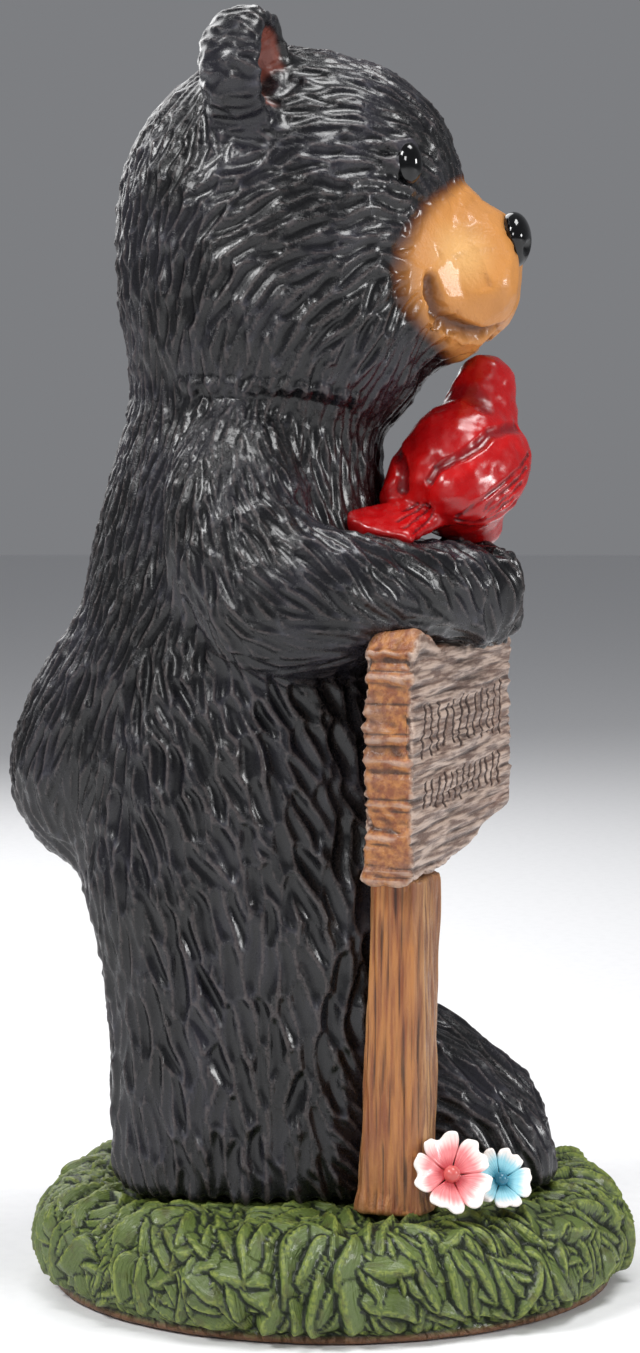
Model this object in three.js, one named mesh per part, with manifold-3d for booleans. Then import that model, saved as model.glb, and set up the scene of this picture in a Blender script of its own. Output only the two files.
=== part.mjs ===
// A garden statue: a black bear in the manner of a chainsaw carving, which stands on a grassy base
// and leans both forepaws on a plank sign. A cardinal sits on its right forepaw, and two flowers
// grow at the foot of the signpost.
//
// Millimetres, +Z up. The origin is the centre of the base's underside. The bear faces -Y, and its
// right side is -X. Places are written as (right, front, up): towards the bear's right side,
// towards its front, and up.

import * as THREE from 'three';
import { mergeVertices } from 'three/addons/utils/BufferGeometryUtils.js';
import Module from 'manifold-3d';

const wasm = await Module();
wasm.setup();

// Driving sizes
const bearHeight = 393.5;
const baseLength = 206;
const baseWidth = 196;
const baseHeight = 36;
const boardWidth = 130;
const boardHeight = 75;
const boardThickness = 16;
const signTurn = THREE.MathUtils.degToRad(17.2);
const postWidth = 28;
const postThickness = 18;
const cardinalLength = 78;
const flowerSpan = 30;
const gap = 0.3;

// The bear's own measures are hundredths of its height.
const share = bearHeight / 100;
const groundHeight = baseHeight + gap;

// Turns (right, front, up) into a point of the model.
function at(right, front, up) {
  return new THREE.Vector3(-right, -front, up);
}

// The same for a point of the bear, in hundredths of its height above its soles.
function onBear(right, front, up) {
  return at(right * share, front * share, up * share + groundHeight);
}

// Leaves only a form's corners, each of them once.
function closed(form) {
  form.deleteAttribute('normal');
  form.deleteAttribute('uv');
  return mergeVertices(form, 1e-4);
}

function toSolid(form) {
  const merged = closed(form);
  return new wasm.Manifold(new wasm.Mesh({
    numProp: 3,
    vertProperties: new Float32Array(merged.attributes.position.array),
    triVerts: new Uint32Array(merged.index.array),
  }));
}

function toForm(solid) {
  const mesh = solid.getMesh();
  const form = new THREE.BufferGeometry();
  form.setAttribute('position', new THREE.BufferAttribute(mesh.vertProperties, 3));
  form.setIndex(new THREE.BufferAttribute(mesh.triVerts, 1));
  form.computeVertexNormals();
  return form;
}

function joined(solids) {
  return solids.reduce((whole, solid) => whole.add(solid));
}

// Cuts a solid back from its neighbour, and leaves the gap between them.
function clearOf(solid, neighbour) {
  const shifts = [[0, 0, 0]];
  for (let axis = 0; axis < 3; axis += 1) {
    for (const step of [-gap, gap]) {
      const shift = [0, 0, 0];
      shift[axis] = step;
      shifts.push(shift);
    }
  }
  return shifts.reduce((rest, shift) => rest.subtract(neighbour.translate(shift)), solid);
}

// Moves the points of a closed cylinder onto a row of rings. A ring has a centre, two half widths
// along its across and over directions, and the power of its outline: 2 is an ellipse.
function loft(ringAt, steps, around) {
  const form = new THREE.CylinderGeometry(1, 1, 1, around, steps);
  const points = form.attributes.position;
  const point = new THREE.Vector3();
  for (let i = 0; i < points.count; i += 1) {
    point.fromBufferAttribute(points, i);
    const ring = ringAt(point.y + 0.5);
    const reach = Math.hypot(point.x, point.z);
    if (reach > 0) {
      const sum = Math.abs(point.x) ** ring.power + Math.abs(point.z) ** ring.power;
      const rounding = reach * sum ** (-1 / ring.power);
      point.x *= rounding;
      point.z *= rounding;
    }
    const place = ring.centre.clone();
    place.addScaledVector(ring.across, point.x * ring.halfAcross);
    place.addScaledVector(ring.over, point.z * ring.halfOver);
    points.setXYZ(i, place.x, place.y, place.z);
  }
  return toSolid(form);
}

// A smooth run through rows of numbers, read at any share of the way.
function run(rows) {
  const curve = (pick) => new THREE.CatmullRomCurve3(rows.map((row) => new THREE.Vector3(...pick(row))));
  const heads = curve((row) => row.slice(0, 3));
  const tails = curve((row) => [row[3] ?? 0, row[4] ?? 0, 0]);
  return (t) => [...heads.getPoint(t).toArray(), ...tails.getPoint(t).toArray()];
}

// An upright body of the bear. Each row gives a level: its height, how far it reaches to the front,
// to the back, to the right and to the left.
function upright(rows, steps, around, power) {
  const level = run(rows);
  return loft((t) => {
    const [up, front, back, right, left] = level(t);
    return {
      centre: onBear((right - left) / 2, (front - back) / 2, up),
      across: new THREE.Vector3(1, 0, 0),
      over: new THREE.Vector3(0, -1, 0),
      halfAcross: (right + left) / 2 * share,
      halfOver: (front + back) / 2 * share,
      power,
    };
  }, steps, around);
}

// A limb along a curve. Each row gives a point (right, front, up), how tall the limb is there and how
// thick, as half widths. Its thickness lies towards the outward direction.
function limb(rows, outward, steps, around, power = 2) {
  const course = run(rows);
  const step = 0.01;
  return loft((t) => {
    const [right, front, up, tall, thick] = course(t);
    const before = course(Math.max(t - step, 0));
    const after = course(Math.min(t + step, 1));
    const along = onBear(...after.slice(0, 3)).sub(onBear(...before.slice(0, 3))).normalize();
    const across = along.clone().cross(outward).normalize();
    const over = across.clone().cross(along).normalize();
    return {
      centre: onBear(right, front, up),
      across,
      over,
      halfAcross: tall * share,
      halfOver: thick * share,
      power,
    };
  }, steps, around);
}

// A round lump of the bear: its centre and its half sizes.
function lump(right, front, up, halfRight, halfFront, halfUp, around = 12) {
  const form = new THREE.SphereGeometry(1, around, around / 2);
  form.rotateX(Math.PI / 2);
  form.scale(halfRight * share, halfFront * share, halfUp * share);
  const centre = onBear(right, front, up);
  form.translate(centre.x, centre.y, centre.z);
  return toSolid(form);
}

// The base: an oval with a flat top, round shoulders and a flat underside.
function grassBase() {
  const foot = 0.95;
  const plateau = 0.82;
  const waist = 0.4 * baseHeight;
  const rise = baseHeight - waist;
  const shoulder = new THREE.EllipseCurve(plateau, waist, 1 - plateau, rise, 0, Math.PI / 2);
  const profile = [new THREE.Vector2(0, 0), new THREE.Vector2(foot, 0)];
  profile.push(...shoulder.getPoints(5));
  profile.push(new THREE.Vector2(0, baseHeight));
  const form = new THREE.LatheGeometry(profile, 40);
  form.rotateX(Math.PI / 2);
  form.scale(baseWidth / 2, baseLength / 2, 1);
  return toSolid(form);
}

// The sign's own frame: its origin is the middle of the board's front face at the ground, +X runs
// along the board to the bear's left, and -Y is the board's front. The forepaws lie on its top.
const boardTop = groundHeight + 47.2 * share;
const signPlace = new THREE.Matrix4()
  .makeRotationZ(-signTurn)
  .setPosition(at(6.1 * share, 11.25 * share, 0));

const boardRise = 3;
const boardFarCut = 10;
const boardEdge = 1.6;

// The board: a thick plank, a little taller at its right end, with its lower left corner cut away in
// a hollow curve.
function signBoard() {
  const half = boardWidth / 2;
  const bottom = boardTop - boardHeight;
  const cut = bottom + boardFarCut;
  const outline = new THREE.Shape();
  outline.moveTo(-half, bottom);
  outline.lineTo(-half * 0.3, bottom + boardFarCut * 0.15);
  outline.quadraticCurveTo(half * 0.25, bottom + boardFarCut * 0.3, half * 0.45, cut - 1.5);
  outline.lineTo(half, cut + 1);
  outline.lineTo(half, boardTop - boardRise);
  outline.lineTo(-half, boardTop);
  outline.closePath();
  const form = new THREE.ExtrudeGeometry(outline, {
    depth: boardThickness - 2 * boardEdge,
    bevelThickness: boardEdge,
    bevelSize: boardEdge,
    bevelOffset: -boardEdge,
    bevelSegments: 1,
    curveSegments: 5,
  });
  form.translate(0, 0, boardEdge - boardThickness);
  form.rotateX(Math.PI / 2);
  form.applyMatrix4(signPlace);
  return toSolid(form);
}

// The post: it stands under the right half of the board and grows deeper towards its foot.
const postInset = 15;
const postRight = -boardWidth / 2 + postInset;
const postSetBack = 1.2;
const postFootDepth = 4;

function signPost() {
  const height = boardTop - boardHeight - gap - groundHeight;
  return loft((t) => {
    const depth = postThickness + postFootDepth * (1 - t) ** 1.3;
    const width = postWidth - postFootDepth * (1 - t);
    return {
      centre: new THREE.Vector3(postRight + width / 2, postSetBack + depth / 2, groundHeight + t * height)
        .applyMatrix4(signPlace),
      across: new THREE.Vector3(Math.cos(signTurn), -Math.sin(signTurn), 0),
      over: new THREE.Vector3(-Math.sin(signTurn), -Math.cos(signTurn), 0),
      halfAcross: width / 2,
      halfOver: depth / 2,
      power: 7,
    };
  }, 4, 20);
}

// The bear, body by body. Where two bodies meet, one runs well into the other.
const toRight = new THREE.Vector3(-1, 0, 0);
const toLeft = new THREE.Vector3(1, 0, 0);

function torso() {
  return upright([
    [15.2, 3.0, 12.7, 6.6, 6.6],
    [17.7, 6.1, 18.3, 11.7, 11.7],
    [22.5, 7.1, 20.8, 15.2, 15.2],
    [28.9, 7.6, 22.4, 17.0, 17.0],
    [36.0, 7.6, 22.9, 17.5, 17.5],
    [42.9, 7.3, 22.6, 16.8, 16.8],
    [49.7, 6.4, 21.6, 15.2, 15.2],
    [56.3, 5.0, 20.2, 14.2, 14.2],
    [61.9, 4.1, 18.8, 13.5, 13.5],
    [66.5, 4.3, 17.5, 12.7, 12.7],
    [70.6, 3.6, 15.2, 10.7, 10.7],
    [72.6, 1.0, 12.2, 7.1, 7.1],
  ], 13, 22, 2.3);
}

function head() {
  return upright([
    [65.0, 5.1, 15.8, 11.2, 11.2],
    [67.0, 6.9, 17.0, 13.2, 13.2],
    [69.6, 8.3, 17.4, 14.6, 14.6],
    [72.6, 9.1, 17.8, 15.4, 15.4],
    [77.2, 9.8, 18.6, 15.5, 15.5],
    [82.3, 10.4, 18.6, 15.0, 15.0],
    [86.3, 10.9, 18.1, 14.2, 14.2],
    [89.9, 10.4, 16.7, 12.7, 12.7],
    [92.9, 8.4, 14.4, 10.5, 10.5],
    [95.2, 5.2, 11.4, 7.6, 7.6],
    [96.7, 1.0, 8.0, 4.3, 4.3],
    [97.5, -2.2, 4.4, 1.1, 1.1],
  ], 14, 22, 2.15);
}

// Each leg reaches from the sole to inside the belly. The right one's rows are mirrored to the left.
const legRows = [
  [-1.0, 5.8, 18.6, 15.0, -1.0],
  [4.0, 6.2, 18.8, 15.2, -0.8],
  [11.0, 7.2, 19.0, 15.6, -0.4],
  [17.5, 7.6, 19.1, 16.0, 0.0],
  [24.6, 7.4, 20.8, 16.6, 1.0],
  [31.0, 6.0, 21.0, 16.6, 2.0],
  [37.0, 2.0, 16.0, 13.0, 2.0],
];

function leg(side) {
  const rows = legRows.map(([up, front, back, outer, inner]) => (
    side > 0 ? [up, front, back, outer, inner] : [up, front, back, inner, outer]));
  return upright(rows, 7, 18, 2.5);
}

// A foot: a big wedge from inside the leg to the toes. Its rows give how far ahead a section is, its
// top and its half width. The sections reach below the sole, and the ground cuts them flat.
const footRows = [
  [-0.4, 15.6, 5.2],
  [5.1, 14.9, 5.6],
  [9.4, 13.5, 5.8],
  [12.2, 11.8, 5.8],
  [15.0, 9.2, 5.6],
  [17.4, 7.4, 4.9],
  [18.9, 5.2, 3.4],
  [19.4, 3.4, 1.6],
];
const rightFootRight = 5.3;
const leftFootRight = -6.9;

function foot(right) {
  const below = -4;
  const section = run(footRows.map(([front, top, half]) => [front, top, half, 0]));
  return loft((t) => {
    const [front, top, half] = section(t);
    return {
      centre: onBear(right, front, (top + below) / 2),
      across: new THREE.Vector3(0, 0, 1),
      over: toLeft,
      halfAcross: (top - below) / 2 * share,
      halfOver: half * share,
      power: 2.4,
    };
  }, 8, 14);
}

// The stub of a tail, which the back's fur runs down over.
function tail() {
  return limb([
    [0, -16.6, 53.0, 3.0, 7.0],
    [0, -17.8, 47.5, 4.6, 9.4],
    [0, -20.4, 41.0, 5.8, 10.2],
    [0, -22.3, 35.6, 6.0, 9.4],
    [0, -22.0, 31.6, 5.0, 7.6],
    [0, -20.4, 28.8, 3.0, 4.6],
    [0, -18.4, 27.6, 1.2, 1.8],
  ], toRight, 8, 14);
}

function upperArm(side) {
  return limb([
    [11.0 * side, -7.6, 66.5, 2.4, 2.0],
    [12.0 * side, -7.9, 64.2, 4.6, 3.6],
    [13.8 * side, -8.0, 60.0, 5.9, 4.5],
    [15.6 * side, -7.6, 55.0, 6.3, 4.8],
    [16.4 * side, -6.6, 51.0, 5.6, 4.4],
    [16.6 * side, -6.0, 48.6, 3.2, 3.0],
  ], side > 0 ? toRight : toLeft, 6, 14);
}

// The right forearm runs forward and inward over the board. The left one lies on the board's end.
function rightForearm() {
  return limb([
    [16.5, -10.4, 50.9, 2.4, 2.0],
    [16.9, -9.0, 50.9, 4.9, 3.8],
    [17.0, -6.5, 50.9, 6.4, 4.8],
    [16.7, -2.0, 50.9, 6.6, 5.0],
    [14.9, 2.5, 51.0, 5.5, 4.7],
    [11.6, 6.4, 51.3, 4.5, 4.4],
    [8.3, 9.9, 51.3, 4.2, 4.6],
    [5.7, 13.0, 51.2, 4.1, 4.8],
    [4.4, 15.0, 50.8, 3.0, 3.6],
    [4.1, 15.8, 50.6, 1.2, 1.6],
  ], toRight, 13, 15);
}

function leftForearm() {
  return limb([
    [-16.5, -10.4, 50.9, 2.4, 2.0],
    [-16.9, -9.0, 50.9, 4.9, 3.8],
    [-17.0, -6.5, 50.9, 6.2, 4.8],
    [-16.7, -2.0, 50.8, 6.4, 5.0],
    [-15.1, 2.5, 50.9, 5.2, 4.6],
    [-12.6, 6.4, 50.9, 4.3, 4.4],
    [-10.0, 9.8, 50.6, 4.0, 4.6],
    [-8.6, 12.0, 50.2, 3.8, 4.6],
    [-8.0, 13.2, 49.9, 2.8, 3.4],
    [-7.8, 13.8, 49.7, 1.0, 1.6],
  ], toLeft, 13, 15);
}

// A finger in the sign's frame: its course is given by how far it lies ahead of the board's front
// face and above the board's top, with its half width at each point.
const fingerPitch = 10.5;

function finger(along, course) {
  const toSign = new THREE.Vector3(Math.cos(signTurn), -Math.sin(signTurn), 0);
  const centres = new THREE.CatmullRomCurve3(course.map(([ahead, above]) => (
    new THREE.Vector3(along, -ahead, boardTop + above).applyMatrix4(signPlace))));
  const widths = new THREE.SplineCurve(course.map((row, i) => new THREE.Vector2(i, row[2])));
  return loft((t) => {
    const tangent = centres.getTangent(t);
    const across = tangent.clone().cross(toSign).normalize();
    const half = widths.getPoint(t).y;
    const centre = centres.getPoint(t);
    return { centre, across, over: toSign, halfAcross: half, halfOver: half, power: 2 };
  }, 6, 8);
}

function rightFingers() {
  const course = [[-8, 20, 5], [2, 22, 6.6], [8, 17, 6.8], [9.3, 8, 6.4], [7.6, 0, 5], [5.4, -5, 2]];
  return [0, 1, 2, 3].map((i) => finger(-10 + i * fingerPitch, course));
}

function leftFingers() {
  const course = [[-24, 14, 5], [-14, 13, 6.2], [-8.5, 9, 6.2], [-6.5, 4, 5], [-6, 1, 2.4]];
  return [0, 1, 2].map((i) => finger(38 + i * fingerPitch, course));
}

// The muzzle, turned a little to the bear's right, with the nose on its end.
function muzzle() {
  return limb([
    [0.4, 1.3, 77.6, 7.6, 11.0],
    [0.8, 5.6, 77.6, 7.8, 10.2],
    [1.1, 8.4, 77.7, 7.7, 9.0],
    [1.4, 11.2, 78.2, 7.0, 6.8],
    [1.7, 13.7, 79.1, 5.6, 5.8],
    [1.9, 15.4, 79.7, 4.0, 4.4],
    [2.0, 16.3, 80.1, 1.8, 2.2],
  ], toRight, 9, 16, 2.2);
}

const nose = () => lump(1.95, 15.5, 81.3, 2.9, 1.75, 2.7);
const eye = (side) => lump(10.0 * side + 0.6, 6.6, 87.4, 1.5, 1.5, 1.8, 10);

// An ear: a thick round shell, hollow in front and turned outward.
const earTurn = THREE.MathUtils.degToRad(16);

function ear(side) {
  const profile = [
    [0, 0.6],
    [2.2, 0.4],
    [3.2, -1.6],
    [4.1, -2.7],
    [5.0, -2.0],
    [5.2, 0.4],
    [4.6, 2.4],
    [2.8, 3.6],
    [0, 4.0],
  ].map(([x, y]) => new THREE.Vector2(x * share, y * share));
  const form = new THREE.LatheGeometry(profile, 16);
  form.applyMatrix4(new THREE.Matrix4().makeRotationZ(-side * earTurn));
  const centre = onBear(11.4 * side, -6.9, 94.5);
  form.translate(centre.x, centre.y, centre.z);
  return toSolid(form);
}

// The flat pad on the forepaw that the bird stands on.
const birdStand = [3.9, 11.0, 55.6];
const perchRadius = 9.6;
const perchDepth = 3;

function perch() {
  const form = new THREE.CylinderGeometry(perchRadius, perchRadius + 1.4, perchDepth, 16);
  form.rotateX(Math.PI / 2);
  const centre = onBear(...birdStand);
  form.translate(centre.x, centre.y, centre.z - perchDepth / 2);
  return toSolid(form);
}

function ground() {
  const form = new THREE.BoxGeometry(baseLength * 3, baseLength * 3, baseHeight * 2);
  form.translate(0, 0, groundHeight - baseHeight);
  return toSolid(form);
}

function bear() {
  const bodies = [torso(), head(), tail(), leg(1), leg(-1), foot(rightFootRight), foot(leftFootRight)];
  const arms = [upperArm(1), upperArm(-1), rightForearm(), leftForearm()];
  const fingers = [...rightFingers(), ...leftFingers()];
  const features = [muzzle(), nose(), eye(1), eye(-1), ear(1), ear(-1), perch()];
  const whole = joined([...bodies, ...arms, ...fingers, ...features]).subtract(ground());
  return clearOf(clearOf(whole, signBoard()), signPost());
}

// The cardinal's own frame: +X ahead, +Y to its left, +Z up, from the middle of its stand. Its
// measures are hundredths of its length.
const birdTurn = THREE.MathUtils.degToRad(-38);
const feather = cardinalLength / 100;

function birdLump(ahead, left, up, half, pitch = 0, roll = 0) {
  const form = new THREE.SphereGeometry(1, 14, 9);
  form.rotateX(Math.PI / 2);
  form.scale(half[0] * feather, half[1] * feather, half[2] * feather);
  form.rotateX(THREE.MathUtils.degToRad(roll));
  form.rotateY(THREE.MathUtils.degToRad(-pitch));
  form.translate(ahead * feather, left * feather, up * feather);
  return form;
}

function tailFan() {
  const outline = new THREE.Shape();
  outline.moveTo(-14, -9);
  outline.lineTo(-50, -17);
  outline.quadraticCurveTo(-53, 0, -50, 17);
  outline.lineTo(-14, 9);
  outline.closePath();
  const form = new THREE.ExtrudeGeometry(outline, { depth: 6.5, bevelEnabled: false, curveSegments: 6 });
  form.rotateX(THREE.MathUtils.degToRad(16));
  form.rotateY(THREE.MathUtils.degToRad(-16));
  form.translate(0, 0, 14);
  form.scale(feather, feather, feather);
  return form;
}

function cone(radius, height, ahead, up, pitch) {
  const form = new THREE.ConeGeometry(radius * feather, height * feather, 8);
  form.rotateX(Math.PI / 2);
  form.rotateY(THREE.MathUtils.degToRad(pitch));
  form.translate(ahead * feather, 0, up * feather);
  return form;
}

function cardinal(statue) {
  const forms = [
    birdLump(1, 0, 31, [32, 26, 27], 38),
    birdLump(-4, 15, 29, [30, 13, 20], 32, 18),
    birdLump(-4, -15, 29, [30, 13, 20], 32, -18),
    birdLump(14, 0, 53, [17, 16, 18]),
    birdLump(18, 0, 65, [13.5, 13, 13.5]),
    birdLump(10, 0, 6, [13, 12, 9]),
    tailFan(),
    cone(7, 16, 33, 61, 95),
    cone(9, 14, 12, 74, -20),
  ];
  const place = new THREE.Matrix4()
    .makeRotationZ(birdTurn)
    .setPosition(onBear(...birdStand));
  forms.forEach((form) => form.applyMatrix4(place));
  return clearOf(joined(forms.map(toSolid)), statue);
}

// A flower: petals round a button. It stands on its lowest petals, faces the bear's right and leans
// back. Its place is in the sign's frame.
const petalCount = 5;
const petalThickness = 1.5;
const flowerLean = THREE.MathUtils.degToRad(30);
const flowerFacing = THREE.MathUtils.degToRad(-72);

function flower(span, along, ahead, turn) {
  const forms = [];
  for (let i = 0; i < petalCount; i += 1) {
    const petal = new THREE.SphereGeometry(1, 8, 6);
    petal.scale(span * 0.19, span * 0.27, petalThickness);
    petal.rotateX(THREE.MathUtils.degToRad(12));
    petal.translate(0, span * 0.26, span * 0.05);
    petal.rotateZ(turn + (i / petalCount) * Math.PI * 2);
    forms.push(petal);
  }
  const button = new THREE.SphereGeometry(span * 0.1, 8, 5);
  button.translate(0, 0, petalThickness * 0.6);
  forms.push(button);
  const stand = new THREE.Vector3(along, -ahead, groundHeight + span * 0.4).applyMatrix4(signPlace);
  const place = new THREE.Matrix4().makeRotationX(Math.PI / 2 - flowerLean);
  place.premultiply(new THREE.Matrix4().makeRotationZ(flowerFacing));
  place.premultiply(new THREE.Matrix4().makeTranslation(stand));
  forms.forEach((form) => form.applyMatrix4(place));
  return clearOf(joined(forms.map(toSolid)).subtract(ground()), signPost());
}

const pinkAlong = postRight + 8.2;
const pinkAhead = 6.9;
const blueShare = 0.78;

const pinkFlower = () => flower(flowerSpan, pinkAlong, pinkAhead, 0.25);
const blueFlower = () => clearOf(
  flower(flowerSpan * blueShare, pinkAlong + 12.2, pinkAhead + 12.4, 0.7),
  pinkFlower(),
);

function piece(name, solid, colour, roughness) {
  const material = new THREE.MeshStandardMaterial({ color: colour, roughness, metalness: 0 });
  const mesh = new THREE.Mesh(toForm(solid), material);
  mesh.name = name;
  return mesh;
}

const statue = bear();
const group = new THREE.Group();
group.add(piece('bear', statue, 0x2a2a2e, 0.42));
group.add(piece('grass_base', grassBase(), 0x55693a, 0.6));
group.add(piece('sign_board', signBoard(), 0xa8825f, 0.6));
group.add(piece('sign_post', signPost(), 0xa06a3a, 0.55));
group.add(piece('cardinal', cardinal(statue), 0xb0141a, 0.25));
group.add(piece('pink_flower', pinkFlower(), 0xe08a92, 0.4));
group.add(piece('blue_flower', blueFlower(), 0x9ccbd8, 0.4));

export default group;
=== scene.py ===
"""Looks of a garden statue: a gouge-carved black bear that leans its forepaws on a plank sign.

The bear faces -Y, its right side is -X and +Z is up. Places are written as (right, front, up) in
millimetres: towards the bear's right side, towards its front, and up. The meshes are in metres.
"""

from __future__ import annotations

import logging
import math
from dataclasses import dataclass
from enum import Enum
from typing import Any

import bmesh
import bpy
import numpy as np
from mathutils import Matrix, Vector
from mathutils.kdtree import KDTree

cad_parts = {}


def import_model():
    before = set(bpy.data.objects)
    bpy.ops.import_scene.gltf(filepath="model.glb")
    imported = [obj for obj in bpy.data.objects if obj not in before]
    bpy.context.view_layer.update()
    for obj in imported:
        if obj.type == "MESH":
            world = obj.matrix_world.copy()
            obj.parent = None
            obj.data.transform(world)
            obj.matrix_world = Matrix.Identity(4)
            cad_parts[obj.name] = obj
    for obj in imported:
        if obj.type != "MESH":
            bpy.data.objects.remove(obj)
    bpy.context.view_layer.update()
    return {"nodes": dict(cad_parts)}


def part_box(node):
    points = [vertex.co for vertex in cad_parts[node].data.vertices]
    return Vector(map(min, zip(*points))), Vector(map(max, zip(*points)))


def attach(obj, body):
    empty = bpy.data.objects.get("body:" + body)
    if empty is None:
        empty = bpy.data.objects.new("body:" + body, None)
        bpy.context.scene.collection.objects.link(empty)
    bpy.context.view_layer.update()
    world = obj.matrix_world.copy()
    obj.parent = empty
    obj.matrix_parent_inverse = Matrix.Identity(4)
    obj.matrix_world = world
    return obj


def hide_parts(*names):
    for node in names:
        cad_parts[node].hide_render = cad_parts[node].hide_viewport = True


LOG = logging.getLogger("statue")
MM = 0.001
BODY = "root"
Place = tuple[float, float, float]
Colour = tuple[float, float, float]


class Side(Enum):
    """The two sides of the bear."""

    RIGHT = 1
    LEFT = -1


def spot(right: float, front: float, up: float) -> np.ndarray:
    """Turns (right, front, up) in millimetres into a point or a direction of the model."""
    return np.array([-right, -front, up]) * MM


def mirrored(place: Place, side: Side) -> Place:
    """The same place on the given side of the bear."""
    return (place[0] * side.value, place[1], place[2])


def paint_colour(red: int, green: int, blue: int) -> Colour:
    """A colour as it looks on a screen, from 0 to 255, made linear for the shaders."""
    linear = [((c / 255 + 0.055) / 1.055) ** 2.4 if c > 10 else c / 255 / 12.92 for c in (red, green, blue)]
    return (linear[0], linear[1], linear[2])


def ripple(points: np.ndarray, size: float, seed: int, waves: int = 12) -> np.ndarray:
    """A smooth random field, from about -1 to 1.

    Args:
        points: where it is read, in metres.
        size: the width of its swells, in metres.
        seed: which field it is.
        waves: how many waves make it.

    Returns:
        One value for each point.
    """
    rng = np.random.default_rng(seed)
    turns = rng.normal(size=(3, waves)) * (math.pi / size)
    return np.sin(points @ turns + rng.uniform(0, math.tau, waves)).sum(axis=1) / math.sqrt(waves)


def ease(values: np.ndarray, low: float, high: float) -> np.ndarray:
    """A soft step from 0 at low to 1 at high."""
    t = np.clip((values - low) / (high - low), 0, 1)
    return t * t * (3 - 2 * t)


def made_object(name: str, form: bmesh.types.BMesh) -> bpy.types.Object:
    """Makes an object of a form, puts it into the scene and frees the form.

    Args:
        name: the object's name, and its mesh's.
        form: its shape.

    Returns:
        The object.
    """
    mesh = bpy.data.meshes.new(name)
    form.to_mesh(mesh)
    form.free()
    piece = bpy.data.objects.new(name, mesh)
    bpy.context.scene.collection.objects.link(piece)
    return piece


@dataclass(frozen=True)
class Guide:
    """How the gouge marks lie near one place.

    The heading is a direction in the same order as the place. The size is a mark's half length, half
    width and depth in millimetres.
    """

    place: Place
    heading: Place
    size: Place


class Flow:
    """The run of the gouge marks over a surface, blended from its guides."""

    softness = 10 * MM

    def __init__(self, guides: list[Guide]) -> None:
        """Keeps the guides as arrays."""
        self.places = np.array([spot(*g.place) for g in guides])
        self.headings = np.array([spot(*g.heading) / MM for g in guides])
        self.sizes = np.array([g.size for g in guides]) * MM

    def at(self, points: np.ndarray) -> tuple[np.ndarray, np.ndarray]:
        """Reads the flow.

        Args:
            points: where it is read.

        Returns:
            A heading and a size for each point.
        """
        away = ((points[:, None, :] - self.places[None]) ** 2).sum(axis=2)
        weight = 1 / (away + self.softness**2) ** 2
        weight /= weight.sum(axis=1, keepdims=True)
        return weight @ self.headings, weight @ self.sizes


@dataclass(frozen=True)
class Strokes:
    """How the marks of a surface differ from each other.

    The spread is how far from a mark's middle no other starts, in its own half sizes. The turn is how
    far one may turn from the flow, in radians. The level is how much higher one may start, as a share
    of its height. The shares are the sizes of the rounds. The blade is 0 for rounded marks and 1 for
    marks with a sharp crest towards one side. The sizes are a mark's smallest and largest, against the
    flow's. The bend and the bow are how far a mark may run in an S or in a curve, in half widths.
    """

    seed: int
    spread: float
    turn: float
    level: float
    shares: tuple[float, ...] = (1.0, 0.55)
    blade: float = 0.0
    sizes: tuple[float, float] = (0.8, 1.2)
    bend: float = 0.4
    bow: float = 0.6


@dataclass
class Marks:
    """What a round of stamping leaves on each point: its height, and where it lies in its mark."""

    height: np.ndarray
    place: np.ndarray


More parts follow.
